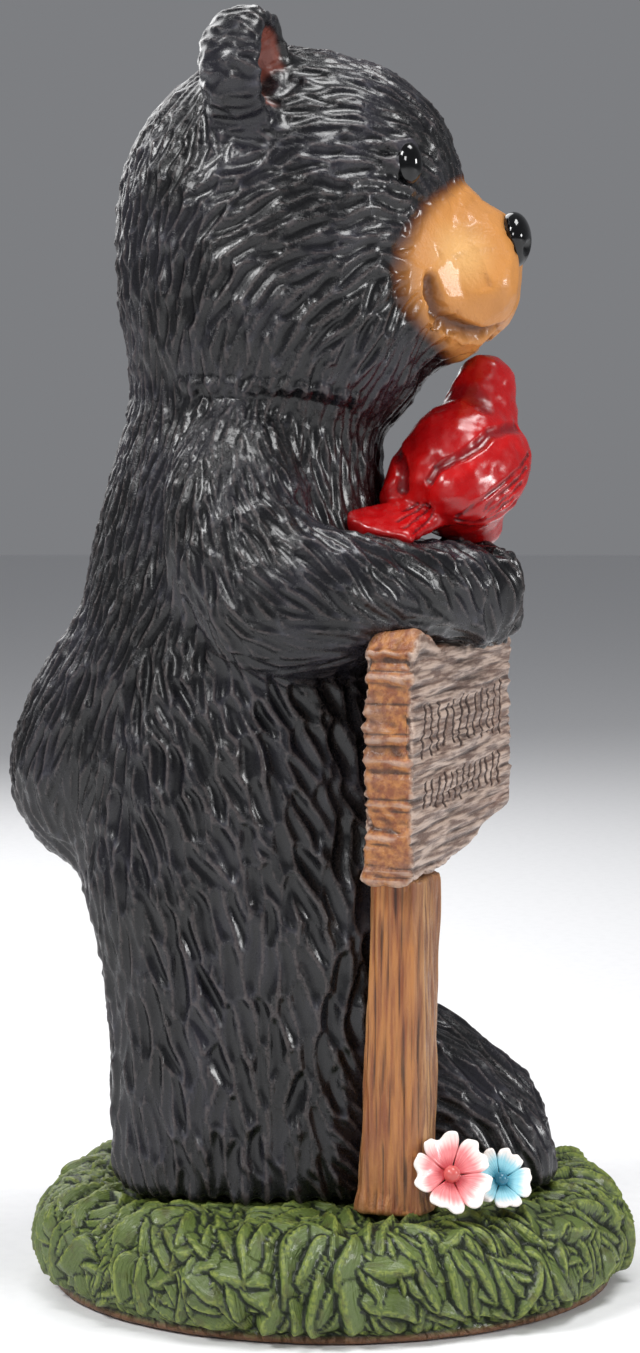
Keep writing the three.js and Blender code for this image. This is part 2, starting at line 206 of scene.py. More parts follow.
class Carving:
    """A fine, even mesh over one CAD node, whose points are pushed about until it is a finished piece."""

    def __init__(self, name: str, node: bpy.types.Object, voxel: float) -> None:
        """Copies the node, merges its points and gives it an even mesh.

        Args:
            name: the piece's name.
            node: the CAD node that it replaces.
            voxel: the spacing of its points in millimetres.
        """
        form = bmesh.new()
        form.from_mesh(node.data)
        bmesh.ops.remove_doubles(form, verts=form.verts, dist=0.01 * MM)
        self.piece = made_object(name, form)
        self.layers: dict[str, np.ndarray] = {}
        self.modify("REMESH", mode="VOXEL", voxel_size=voxel * MM)

    def modify(self, kind: str, **settings: Any) -> None:
        """Adds a modifier, and makes its result the mesh.

        Args:
            kind: the modifier's type.
            settings: its settings.
        """
        modifier = self.piece.modifiers.new(kind, kind)
        for key, value in settings.items():
            setattr(modifier, key, value)
        graph = bpy.context.evaluated_depsgraph_get()
        mesh = bpy.data.meshes.new_from_object(self.piece.evaluated_get(graph))
        self.piece.modifiers.clear()
        self.piece.data = mesh
        self._read()

    def _read(self) -> None:
        """Takes the mesh's points and edges into arrays."""
        mesh = self.piece.data
        flat = np.empty(len(mesh.vertices) * 3, np.float32)
        mesh.vertices.foreach_get("co", flat)
        self.points = flat.reshape(-1, 3).astype(float)
        pairs = np.empty(len(mesh.edges) * 2, np.int32)
        mesh.edges.foreach_get("vertices", pairs)
        self.first, self.second = pairs.reshape(-1, 2).T
        total = len(self.points)
        self.count = np.bincount(self.first, minlength=total) + np.bincount(self.second, minlength=total)
        self.count = np.maximum(self.count, 1)

    def write(self) -> None:
        """Puts the points back into the mesh."""
        self.piece.data.vertices.foreach_set("co", self.points.astype(np.float32).ravel())
        self.piece.data.update()

    def normals(self) -> np.ndarray:
        """Reads the surface.

        Returns:
            Its direction at each point.
        """
        self.write()
        flat = np.empty(len(self.points) * 3, np.float32)
        self.piece.data.vertex_normals.foreach_get("vector", flat)
        return flat.reshape(-1, 3).astype(float)

    def around(self, values: np.ndarray) -> np.ndarray:
        """Averages over each point's neighbours.

        Args:
            values: a number or a vector for each point.

        Returns:
            The mean of its neighbours' values, for each point.
        """
        total = len(self.points)
        sums = []
        for column in values.reshape(total, -1).T:
            ahead = np.bincount(self.first, column[self.second], total)
            sums.append(ahead + np.bincount(self.second, column[self.first], total))
        return (np.stack(sums, axis=1) / self.count[:, None]).reshape(values.shape)

    def blur(self, values: np.ndarray, rounds: int = 1, share: float = 0.5) -> np.ndarray:
        """Mixes each point's value with its neighbours' mean.

        Args:
            values: a number for each point.
            rounds: how often.
            share: the mean's share in the mix.

        Returns:
            The mixed values.
        """
        for _ in range(rounds):
            values = (1 - share) * values + share * self.around(values)
        return values

    def smooth(self, rounds: int, free: np.ndarray | float = 1.0) -> None:
        """Smooths the surface.

        Args:
            rounds: how often.
            free: how far each point may follow, from 0 to 1.
        """
        share = 0.7 * np.broadcast_to(free, (len(self.points),))[:, None]
        for _ in range(rounds):
            self.points += share * (self.around(self.points) - self.points)

    def refine(self) -> None:
        """Splits each face in four and rounds it."""
        self.write()
        self.modify("SUBSURF", levels=1, render_levels=1)

    def pull(self, place: Place, reach: float) -> np.ndarray:
        """How much a touch at a place moves each point, from 1 at the place to 0 at its reach."""
        away = np.linalg.norm(self.points - spot(*place), axis=1) / (reach * MM)
        return np.clip(1 - away**2, 0, 1) ** 2

    def nudge(self, place: Place, reach: float, shift: Place) -> None:
        """Moves the surface round a place, softly."""
        self.points += self.pull(place, reach)[:, None] * spot(*shift)

    def tree(self) -> KDTree:
        """Sorts the points in space.

        Returns:
            A search tree over them.
        """
        tree = KDTree(len(self.points))
        for index, point in enumerate(self.points):
            tree.insert(point, index)
        tree.balance()
        return tree

    def score(self, path: list[Place], width: float, depth: float, tree: KDTree) -> np.ndarray:
        """Carves a groove along a path that is first laid onto the surface.

        Args:
            path: points near the surface.
            width: the groove's half width in millimetres.
            depth: its depth in millimetres, or less than 0 for a welt.
            tree: a search tree over the points.

        Returns:
            How deep each point lies in it, from 0 to 1.
        """
        steps = 8
        rail = [Vector(spot(*place)) for place in path]
        laid = []
        for one, two in zip(rail, rail[1:]):
            laid += [Vector(tree.find(one.lerp(two, i / steps))[0]) for i in range(steps)]
        laid.append(Vector(tree.find(rail[-1])[0]))
        nearest = np.full(len(self.points), np.inf)
        for one, two in zip(laid, laid[1:]):
            span = np.array(two - one)
            away = self.points - np.array(one)
            t = np.clip(away @ span / max(span @ span, 1e-12), 0, 1)
            nearest = np.minimum(nearest, np.linalg.norm(away - t[:, None] * span, axis=1))
        inside = np.clip(1 - (nearest / (width * MM)) ** 2, 0, 1)
        self.points -= self.normals() * (inside * depth * MM)[:, None]
        return inside

    def stamp(self, flow: Flow, style: Strokes, skip: np.ndarray, tree: KDTree) -> Marks:
        """Lays leaf-shaped marks over the surface, large ones first and smaller ones in the gaps.

        Args:
            flow: how the marks run and how large they are.
            style: how they differ from each other.
            skip: the points that get none.
            tree: a search tree over the points.

        Returns:
            The height of the tallest mark at each point, and where the point lies in that mark.
        """
        marks = Marks(np.zeros(len(self.points)), np.zeros((len(self.points), 3)))
        ground = (*flow.at(self.points), self.normals())
        for number, share in enumerate(style.shares):
            taken = skip | (marks.height > 0)
            self._lay(ground, style, taken, tree, marks, share, style.seed + number)
        return marks

    def _lay(
        self,
        ground: tuple[np.ndarray, np.ndarray, np.ndarray],
        style: Strokes,
        taken: np.ndarray,
        tree: KDTree,
        marks: Marks,
        share: float,
        seed: int,
    ) -> None:
        """Lays one round of marks.

        Args:
            ground: the heading, the size and the surface's direction at each point.
            style: how the marks differ from each other.
            taken: the points where none starts, which grows.
            tree: a search tree over the points.
            marks: what is laid so far, which is added to.
            share: the size of this round's marks as a share of the flow's.
            seed: the seed of this round.
        """
        rng = np.random.default_rng(seed)
        headings, sizes, normals = ground
        for index in rng.permutation(len(self.points)):
            if taken[index]:
                continue
            length, width, tall = sizes[index] * rng.uniform(*style.sizes, 3) * share
            start = style.level * tall * rng.random()
            bend = rng.uniform(-style.bend, style.bend)
            bow = rng.uniform(-style.bow, style.bow)
            swing = rng.uniform(-style.turn, style.turn)
            up = normals[index]
            ahead = headings[index] - up * (headings[index] @ up)
            ahead /= np.linalg.norm(ahead) + 1e-9
            ahead = ahead * math.cos(swing) + np.cross(up, ahead) * math.sin(swing)
            found = tree.find_range(self.points[index], length * max(style.spread, 1))
            near = np.fromiter((item[1] for item in found), int, len(found))
            away = self.points[near] - self.points[index]
            s = away @ ahead / length
            t = away @ np.cross(up, ahead) / width - bend * np.sin(math.pi * s) - bow * (s * s - 0.3)
            half = np.clip(1 - s * s, 0, 1) ** 0.6 + 1e-6
            across = t / half
            inside = (np.abs(across) < 1) & (normals[near] @ up > 0.1)
            dome = 1 - across**2
            blade = np.minimum((across + 1) / 1.4, (1 - across) / 0.6)
            height = start + tall * (dome + style.blade * (blade - dome)) * (1 - s**4) * (1 - 0.2 * s)
            better = inside & (height > marks.height[near])
            chosen = near[better]
            marks.height[chosen] = height[better]
            marks.place[chosen] = np.stack([s, across, np.full(len(s), rng.random())], axis=1)[better]
            taken[near[s * s + t * t < style.spread**2]] = True
            taken[index] = True

    def crest(self, normals: np.ndarray, size: float) -> np.ndarray:
        """How sharply each point stands out, from -1 in a slit to 1 on a ridge, at a size in millimetres."""
        out = ((self.points - self.around(self.points)) * normals).sum(axis=1)
        return np.clip(out / (size * MM), -1, 1)

    def write_layers(self) -> None:
        """Writes the named layers into the mesh, for the paint."""
        for name, values in self.layers.items():
            kind, key = ("FLOAT", "value") if values.ndim == 1 else ("FLOAT_VECTOR", "vector")
            layer = self.piece.data.attributes.new(name, kind, "POINT")
            layer.data.foreach_set(key, values.astype(np.float32).ravel())

    def finished(self) -> bpy.types.Object:
        """Writes the points and layers, and shades the piece smooth.

        Returns:
            The piece.
        """
        self.write()
        self.write_layers()
        self.piece.data.shade_smooth()
        return self.piece

    def slices(self, levels: tuple[tuple[str, float, float], ...]) -> list[bpy.types.Object]:
        """Cuts the finished piece into closed slices.

        Args:
            levels: each slice's name, its lowest and its highest level in millimetres.

        Returns:
            The slices, whose cut faces lie on each other.
        """
        whole = self.finished()
        made = []
        for name, low, high in levels:
            form = bmesh.new()
            form.from_mesh(whole.data)
            for level, direction in ((low, -1), (high, 1)):
                everything = [*form.verts, *form.edges, *form.faces]
                cut = bmesh.ops.bisect_plane(
                    form,
                    geom=everything,
                    plane_co=(0, 0, level * MM),
                    plane_no=(0, 0, direction),
                    clear_outer=True,
                )["geom_cut"]
                rim = [item for item in cut if isinstance(item, bmesh.types.BMEdge)]
                if rim:
                    bmesh.ops.holes_fill(form, edges=rim, sides=0)
                    for edge in rim:
                        edge.smooth = False
            made.append(made_object(name, form))
        bpy.data.objects.remove(whole)
        return made


class Wire:
    """A socket of a paint's nodes, on which arithmetic adds Math nodes."""

    def __init__(self, paint: Paint, socket: bpy.types.NodeSocket) -> None:
        """Keeps the socket and the paint that it belongs to."""
        self.paint = paint
        self.socket = socket

    def _maths(self, operation: str, one: Any, two: Any) -> Wire:
        """Adds a Math node for one operation."""
        return self.paint.node("ShaderNodeMath", {"operation": operation}, {0: one, 1: two})

    def __add__(self, other: Any) -> Wire:
        """Adds a number or a wire."""
        return self._maths("ADD", self, other)

    def __sub__(self, other: Any) -> Wire:
        """Takes a number or a wire away."""
        return self._maths("SUBTRACT", self, other)

    def __rsub__(self, other: Any) -> Wire:
        """Takes this away from a number."""
        return self._maths("SUBTRACT", other, self)

    def __mul__(self, other: Any) -> Wire:
        """Multiplies by a number or a wire."""
        return self._maths("MULTIPLY", self, other)

    __radd__ = __add__
    __rmul__ = __mul__


class Paint:
    """A material whose nodes are put together in code."""

    def __init__(self, name: str, coat: float = 0.0, specular: float = 0.5) -> None:
        """Makes the material.

        Args:
            name: its name.
            coat: how much clear coat lies on it.
            specular: its specular level.
        """
        self.material = bpy.data.materials.new(name)
        self.material.use_nodes = True
        self.nodes = self.material.node_tree.nodes
        self.links = self.material.node_tree.links
        self.shader = self.nodes["Principled BSDF"]
        self.shader.inputs["Coat Weight"].default_value = coat
        self.shader.inputs["Coat Roughness"].default_value = 0.12
        self.shader.inputs["Specular IOR Level"].default_value = specular

    def node(self, kind: str, settings: dict[str, Any], sockets: dict[Any, Any], output: Any = 0) -> Wire:
        """Adds any node.

        Args:
            kind: the node's type.
            settings: its settings, and the stops of a ramp, which are set first.
            sockets: the values or wires of its inputs.
            output: which output is wanted.

        Returns:
            The wire of that output.
        """
        made = self.nodes.new(kind)
        for key, value in settings.items():
            setattr(made, key, value)
        for key, value in sockets.items():
            self.feed(made.inputs[key], value)
        return Wire(self, made.outputs[output])

    def feed(self, socket: bpy.types.NodeSocket, value: Any) -> None:
        """Links a wire to a socket, or sets its value.

        Args:
            socket: the input.
            value: a wire, a colour or a number.
        """
        if isinstance(value, Wire):
            self.links.new(value.socket, socket)
        elif isinstance(value, tuple) and socket.type == "RGBA":
            socket.default_value = (*value, 1.0)
        else:
            socket.default_value = value

    def layer(self, name: str, output: str = "Fac") -> Wire:
        """Reads a layer of the mesh."""
        return self.node("ShaderNodeAttribute", {"attribute_name": name}, {}, output)

    def place(self, scale: Place = (1.0, 1.0, 1.0), turn: float = 0.0) -> Wire:
        """Reads the object coordinates.

        Args:
            scale: how they are stretched along each axis, last.
            turn: how they are turned about the vertical first, in radians.

        Returns:
            The wire of the coordinates.
        """
        read = self.node("ShaderNodeTexCoord", {}, {}, "Object")
        turned = self.node("ShaderNodeMapping", {}, {"Vector": read, "Rotation": (0.0, 0.0, turn)})
        return self.node("ShaderNodeMapping", {}, {"Vector": turned, "Scale": scale})

    def noise(self, scale: float, detail: float, vector: Wire | None = None) -> Wire:
        """Noise from 0 to 1."""
        where = vector or self.place()
        return self.node("ShaderNodeTexNoise", {}, {"Vector": where, "Scale": scale, "Detail": detail}, "Fac")

    def step(self, value: Wire, low: float, high: float, start: float = 0.0, end: float = 1.0) -> Wire:
        """Takes a value's range from low to high to the range from start to end."""
        ends = {"Value": value, "From Min": low, "From Max": high, "To Min": start, "To Max": end}
        return self.node("ShaderNodeMapRange", {"interpolation_type": "SMOOTHSTEP"}, ends)

    def mix(self, one: Any, two: Any, share: Any) -> Wire:
        """Mixes two colours."""
        return self.node("ShaderNodeMix", {"data_type": "RGBA"}, {0: share, 6: one, 7: two}, 2)

    def bump(self, height: Wire, depth: float, strength: float = 1.0) -> Wire:
        """Fine relief of a depth in millimetres."""
        sockets = {"Height": height, "Distance": depth * MM, "Strength": strength}
        return self.node("ShaderNodeBump", {}, sockets)

    def finish(self, colour: Any, roughness: Any, normal: Wire | None = None) -> bpy.types.Material:
        """Feeds the shader.

        Args:
            colour: the base colour.
            roughness: the roughness.
            normal: the surface's direction, where there is fine relief.

        Returns:
            The material.
        """
        self.feed(self.shader.inputs["Base Color"], colour)
        self.feed(self.shader.inputs["Roughness"], roughness)
        if normal is not None:
            self.feed(self.shader.inputs["Normal"], normal)
        return self.material


@dataclass(frozen=True)
class FurPaint:
    """Satin black in the gouge marks, greyer on their ridges, with a painted highlight on their lower tips
    and painted shade in their slits; a tan muzzle with a painted highlight on its near lobe and painted shade
    in its grooves, and rosy ears.
    """

    black: Colour = paint_colour(10, 10, 12)
    slate: Colour = paint_colour(44, 43, 52)
    russet: Colour = paint_colour(46, 33, 31)
    ridge: Colour = paint_colour(116, 104, 102)
    # the colour of the painted highlight on the lower tips of the marks
    sheen: Colour = paint_colour(120, 120, 132)
    tan: Colour = paint_colour(192, 130, 66)
    # the paler tan of the painted highlight on the muzzle's near lobe
    pale_tan: Colour = paint_colour(230, 184, 120)
    burnt: Colour = paint_colour(84, 44, 20)
    rose: Colour = paint_colour(150, 84, 70)

    def make(self) -> bpy.types.Material:
        """Makes the material.

        Returns:
            The material.
        """
        paint = Paint("bear_paint", coat=0.22, specular=0.35)
        crest = paint.layer("crest")
        snout = paint.layer("snout")
        mark = paint.layer("mark", "Vector")
        cloud = paint.noise(38, 2)
        fine = paint.noise(900, 3)
        bare = paint.layer("bare")
        colour = paint.mix(self.black, self.slate, paint.step(cloud, 0.35, 0.8, 0.0, 0.6))
        colour = paint.mix(colour, self.slate, bare * 0.8)
        colour = paint.mix(colour, self.russet, paint.step(paint.noise(24, 3), 0.5, 0.75, 0.1, 0.4) * bare)
        edge = paint.step(crest, 0.2, 1.0) * paint.step(fine + 0.5 * cloud, 0.35, 0.85)
        colour = paint.mix(colour, self.ridge, edge * 0.26)
        # Painted highlight: the sheen colour on the lower tips of the marks.
        colour = paint.mix(colour, self.sheen, paint.step(paint.layer("tip"), 0.1, 0.9, 0.0, 0.3) * cloud)
        # Painted shade: black in the slits between the marks.
        colour = paint.mix(colour, self.black, paint.step(crest, -0.05, -0.7, 0.0, 0.85))
        # Painted highlight: paler tan on the muzzle's near lobe.
        tan = paint.mix(self.tan, self.pale_tan, paint.layer("painted_muzzle_highlight") * 0.6)
        tan = paint.mix(tan, self.burnt, paint.step(paint.noise(60, 2), 0.5, 0.8, 0.0, 0.25))
        tan = paint.mix(tan, self.burnt, paint.step(snout, 0.9, 0.05, 0.0, 1.0))
        # Painted shade: burnt brown in the mouth grooves and the line under the nose.
        tan = paint.mix(tan, self.burnt, paint.layer("ink"))
        colour = paint.mix(colour, tan, paint.step(snout, -0.15, 0.25))
        colour = paint.mix(colour, self.rose, paint.layer("rose"))
        rough = paint.step(fine, 0.2, 0.8, 0.24, 0.32) + bare * 0.15
        hair = paint.node("ShaderNodeMapping", {}, {"Vector": mark, "Scale": (1.2, 5.0, 40.0)})
        lines = paint.noise(2.2, 2, hair) * (1 - paint.step(snout, -0.1, 0.1))
        normal = paint.bump(0.3 * lines + (0.1 + 0.9 * bare) * fine, 0.3, 0.8)
        return paint.finish(colour, rough, normal)


@dataclass(frozen=True)
class GrassPaint:
    """Olive green tufts flecked with soil, yellower on their ridges, with painted shade between them and in
    their slits, on a brown rim.
    """

    olive: Colour = paint_colour(84, 100, 44)
    soil: Colour = paint_colour(66, 60, 30)
    deep: Colour = paint_colour(26, 38, 14)
    lime: Colour = paint_colour(124, 136, 60)
    grey: Colour = paint_colour(96, 112, 74)
    brown: Colour = paint_colour(112, 74, 48)

    def make(self) -> bpy.types.Material:
        """Makes the material.

        Returns:
            The material.
        """
        paint = Paint("grass_paint", coat=0.12)
        crest = paint.layer("crest")
        fine = paint.noise(700, 3)
        colour = paint.mix(self.olive, self.grey, paint.step(paint.noise(30, 2), 0.5, 0.75, 0.0, 0.5))
        colour = paint.mix(colour, self.deep, paint.step(paint.noise(45, 2), 0.5, 0.8, 0.0, 0.5))
        colour = paint.mix(colour, self.lime, paint.step(crest, 0.05, 0.7) * paint.step(fine, 0.35, 0.6))
        colour = paint.mix(colour, self.soil, paint.step(paint.noise(190, 4), 0.5, 0.75, 0.0, 0.6))
        # Painted shade: deep green where the tufts are low, between them, and in their slits.
        colour = paint.mix(colour, self.deep, paint.step(paint.layer("low"), 0.55, 0.05, 0.0, 0.85))
        colour = paint.mix(colour, self.deep, paint.step(crest, 0.0, -0.5))
        colour = paint.mix(colour, self.brown, paint.layer("rim"))
        mark = paint.layer("mark", "Vector")
        hair = paint.node("ShaderNodeMapping", {}, {"Vector": mark, "Scale": (0.8, 4.0, 40.0)})
        normal = paint.bump(paint.noise(2.0, 2, hair) + 0.6 * fine, 0.7, 0.9)
        return paint.finish(colour, paint.step(fine, 0.2, 0.8, 0.35, 0.6), normal)


@dataclass(frozen=True)
class WoodPaint:
    """Streaked wood paint: one colour on the faces, a second, a painted highlight in gold, where a layer of
    the mesh says so, and painted shade in the slits.
    """

    name: str
    face: Colour
    streak: Colour
    # the gold of the painted highlight on the faces turned toward the camera
    golden: Colour = paint_colour(174, 115, 62)
    amber: Colour = paint_colour(132, 74, 42)
    dark: Colour = paint_colour(52, 30, 20)
    grain: Place = (1.0, 1.0, 1.0)
    turn: float = 0.0

    def make(self) -> bpy.types.Material:
        """Makes the material.

        Returns:
            The material.
        """
        paint = Paint(self.name, coat=0.1)
        crest = paint.layer("crest")
        where = paint.place(self.grain, self.turn)
        streaks = paint.noise(720, 4, where)
        broad = paint.noise(90, 2, where)
        fine = paint.noise(1200, 2)
        face = paint.mix(self.face, self.streak, paint.step(streaks, 0.38, 0.66))
        face = paint.mix(face, self.amber, paint.step(broad, 0.5, 0.8, 0.0, 0.5))
        gold = paint.mix(self.golden, self.amber, paint.step(paint.noise(480, 5, where), 0.34, 0.66))
        gold = paint.mix(gold, self.face, paint.step(paint.noise(50, 2), 0.5, 0.7, 0.0, 0.5))
        # Painted highlight: gold on the faces turned toward the camera.
        colour = paint.mix(face, gold, paint.layer("golden"))
        # Painted shade: dark in the slits.
        colour = paint.mix(colour, self.dark, paint.step(crest, 0.0, -0.7, 0.0, 0.85))
        colour = paint.mix(colour, self.streak, paint.step(crest, 0.2, 0.9, 0.0, 0.5))
        # Dark in the rows of marks on the board, and darker towards the bottom of the post.
        colour = paint.mix(colour, self.dark, paint.step(paint.layer("ink"), 0.1, 0.6))
        normal = paint.bump(streaks + 0.3 * fine, 0.9, 0.9)
        return paint.finish(colour, paint.step(fine, 0.2, 0.8, 0.36, 0.55), normal)


@dataclass(frozen=True)
class FeatherPaint:
    """Glossy red with painted maroon shade in its grooves and slits, a dark mask and an orange beak."""

    red: Colour = paint_colour(160, 5, 9)
    bright: Colour = paint_colour(192, 12, 12)
    # the colour of the painted shade in the bird's grooves and slits
    maroon: Colour = paint_colour(82, 10, 18)
    mask: Colour = paint_colour(36, 20, 20)
    beak: Colour = paint_colour(206, 84, 36)

    def make(self) -> bpy.types.Material:
        """Makes the material.

        Returns:
            The material.
        """
        paint = Paint("cardinal_paint", coat=0.1)
        crest = paint.layer("crest")
        colour = paint.mix(self.red, self.bright, paint.step(paint.noise(60, 2), 0.45, 0.7))
        # Painted shade: maroon in the wing, tail-side and neck grooves.
        colour = paint.mix(colour, self.maroon, paint.layer("ink") * 0.85)
        # Painted shade: maroon in the slits.
        colour = paint.mix(colour, self.maroon, paint.step(crest, 0.0, -0.6, 0.0, 0.8))
        colour = paint.mix(colour, self.mask, paint.layer("mask"))
        colour = paint.mix(colour, self.beak, paint.layer("beak"))
        normal = paint.bump(paint.noise(500, 3), 0.15, 0.6)
        return paint.finish(colour, paint.step(paint.noise(300, 2), 0.3, 0.7, 0.2, 0.34), normal)


@dataclass(frozen=True)
class PetalPaint:
    """Petals that go from a strong heart to pale tips, with fine rays."""

    name: str
    heart: Colour
    middle: Colour
    tip: Colour = paint_colour(246, 238, 232)
    button: Colour = paint_colour(196, 88, 84)

    def make(self) -> bpy.types.Material:
        """Makes the material.

        Returns:
            The material.
        """
        paint = Paint(self.name, coat=0.3)
        reach = paint.layer("reach")
        rays = paint.noise(1.0, 2, paint.node("ShaderNodeMapping", {}, {
            "Vector": paint.layer("ray", "Vector"),
            "Scale": (9.0, 0.8, 3.0),
        }))
        soft = reach + 0.35 * (rays - 0.5)
        colour = paint.mix(self.heart, self.middle, paint.step(soft, 0.1, 0.5))
        colour = paint.mix(colour, self.tip, paint.step(soft, 0.5, 0.92))
        colour = paint.mix(colour, self.button, paint.layer("button"))
        return paint.finish(colour, 0.35, paint.bump(rays, 0.5, 0.7))


@dataclass(frozen=True)
class PlainPaint:
    """One paint with a little mottling."""

    name: str
    one: Colour
    two: Colour
    roughness: float
    coat: float = 0.0

    def make(self) -> bpy.types.Material:
        """Makes the material.

        Returns:
            The material.
        """
        paint = Paint(self.name, coat=self.coat)
        cloud = paint.noise(160, 2)
        colour = paint.mix(self.one, self.two, paint.step(cloud, 0.4, 0.7))
        return paint.finish(colour, self.roughness, paint.bump(paint.noise(600, 2), 0.08, 0.5))


def hand_over(piece: bpy.types.Object, slot: str, paint: bpy.types.Material, *nodes: str) -> None:
    """Dresses a finished piece and ties it to the frame.

    Args:
        piece: the finished piece.
        slot: the record's material slot; not used.
        paint: its material.
        nodes: the CAD nodes that it stands for.
    """
    piece.data.materials.clear()
    piece.data.materials.append(paint)
    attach(piece, BODY)
    if nodes:
        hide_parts(*nodes)
    piece.data.calc_loop_triangles()
    LOG.info("%s: %d triangles", piece.name, len(piece.data.loop_triangles))


def beads(name: str, places: list[Place], half: Place, detail: int = 24) -> bpy.types.Object:
    """Smooth round beads in one piece.

    Args:
        name: the piece's name.
        places: their centres.
        half: their half sizes.
        detail: how many faces go round one.

    Returns:
        The piece.
    """
    form = bmesh.new()
    for place in places:
        matrix = Matrix.Translation(spot(*place)) @ Matrix.Diagonal((*(np.array(half) * MM), 1.0))
        bmesh.ops.create_uvsphere(form, u_segments=detail, v_segments=detail // 2, radius=1, matrix=matrix)
    piece = made_object(name, form)
    piece.data.shade_smooth()
    return piece


# How the fur lies on the bear's right side: the place, heading and size of each guide.
FUR: tuple[tuple[Place, Place, Place], ...] = (
    ((45, 22, 352), (0, -1, 0.1), (8, 2.6, 1.1)),
    ((52, 0, 372), (0, -1, -0.05), (8, 2.3, 0.9)),
    ((54, -2, 345), (0, -1, -0.35), (9, 2.6, 1.2)),
    ((50, 8, 328), (0, -0.9, -0.8), (9, 2.6, 1.2)),
    ((46, 2, 314), (0, -0.5, -1), (8, 2.4, 1.0)),
    ((56, -22, 348), (0, -1, -0.6), (8, 2.6, 1.2)),
    ((56, -30, 365), (0, -1, -0.3), (7.5, 2.5, 1.1)),
    ((54, -42, 342), (0, -0.25, -1), (8, 2.4, 1.1)),
    ((44, -56, 356), (0, -0.15, -1), (8.5, 2.2, 1.0)),
    ((20, -68, 350), (0, -0.1, -1), (9, 2.2, 1.0)),
    ((36, -48, 392), (0.1, -0.7, -1), (9, 2.0, 0.9)),
    ((10, -40, 412), (0, -1, -0.3), (9, 2.0, 0.9)),
    ((44, -6, 390), (0.1, -1, 0), (8, 2.0, 0.9)),
    ((26, 16, 402), (0.1, -1, 0.4), (10, 1.8, 0.8)),
    ((4, 20, 410), (0, -1, 0.4), (10, 2.0, 0.8)),
    ((10, 40, 384), (0.2, -0.4, 1), (9, 2.0, 0.8)),
    ((30, 32, 372), (1, -0.6, 0.6), (7, 2.0, 0.8)),
    ((24, 24, 308), (0, -0.6, -1), (8, 2.0, 0.9)),
    ((30, -60, 310), (0, 0, -1), (11, 1.5, 0.9)),
    ((0, -72, 310), (0, 0, -1), (11, 1.6, 0.9)),
    ((50, -30, 298), (0, -0.15, -1), (8, 1.5, 0.8)),
    ((38, 6, 296), (0, 0.2, -1), (9, 1.5, 0.8)),
    ((60, -30, 276), (0, 0.1, -1), (7, 1.2, 0.5)),
    ((40, 18, 268), (0, 0.25, -1), (10, 1.4, 0.8)),
    ((66, -26, 252), (0, 0.35, -1), (9, 2.2, 1.0)),
    ((72, 0, 248), (0.1, 0.8, -0.7), (9, 2.3, 1.0)),
    ((50, 30, 250), (-0.2, 0.8, -0.7), (10, 2.4, 1.1)),
    ((24, 56, 248), (0, 0.4, -1), (11, 2.6, 1.3)),
    ((18, 62, 232), (0, 0.1, -1), (10, 2.6, 1.3)),
    ((74, -6, 220), (0, 1, -0.05), (12, 1.3, 0.35)),
    ((60, 24, 216), (-0.3, 1, 0), (12, 1.3, 0.35)),
    ((50, -60, 270), (0, -0.3, -1), (11, 1.6, 0.9)),
    ((0, -74, 270), (0, -0.2, -1), (12, 1.8, 1.0)),
    ((52, -66, 226), (-0.2, -0.3, -1), (11, 1.7, 1.0)),
    ((0, -90, 226), (0, -0.3, -1), (12, 1.9, 1.0)),
    ((34, -92, 182), (-0.3, -0.3, -1), (11, 1.8, 1.0)),
    ((0, -110, 172), (0, -0.1, -1), (11, 1.9, 1.0)),
    ((14, -100, 148), (0, 0.6, -0.8), (9, 1.8, 0.9)),
    ((60, -44, 200), (0, 0.3, -1), (9, 2.5, 1.2)),
    ((66, -20, 190), (0, 0.5, -1), (9.5, 3.2, 1.5)),
    ((64, 8, 190), (0, 0.45, -1), (10, 3.6, 1.6)),
    ((66, -20, 160), (0, 0.35, -1), (9.5, 3.2, 1.6)),
    ((62, -50, 150), (0, 0.3, -1), (10, 2.6, 1.3)),
    ((64, 10, 150), (0, 0.2, -1), (10.5, 3.5, 1.6)),
    ((50, -72, 120), (0, 0.2, -1), (12, 1.8, 0.9)),
    ((0, -80, 110), (0, 0.1, -1), (11, 2.2, 1.0)),
    ((62, -40, 110), (0, 0.2, -1), (12, 3.1, 1.6)),
    ((62, 0, 110), (0, 0.05, -1), (11, 3.3, 1.7)),
    ((60, -20, 70), (0, 0, -1), (11, 3.0, 1.6)),
    ((50, -70, 60), (0, 0, -1), (12, 2.2, 1.0)),
    ((0, 30, 190), (0, 0.1, -1), (10, 2.6, 1.2)),
    ((34, 20, 60), (0, 1, -0.2), (11, 2.2, 0.9)),
    ((24, 34, 90), (0, 1, -0.7), (12, 2.2, 0.9)),
    ((24, 60, 70), (0, 0.7, -1), (11, 2.2, 1.0)),
    ((22, 74, 52), (0, 0.2, -1), (9, 2.2, 1.1)),
    ((48, -34, 408), (0.2, 1, 0), (6, 2.4, 0.55)),
    ((50, -26, 396), (0.2, 1, 0), (6, 2.4, 0.4)),
    ((44, -42, 402), (1, 0.2, 0.1), (6, 2.4, 0.55)),
)


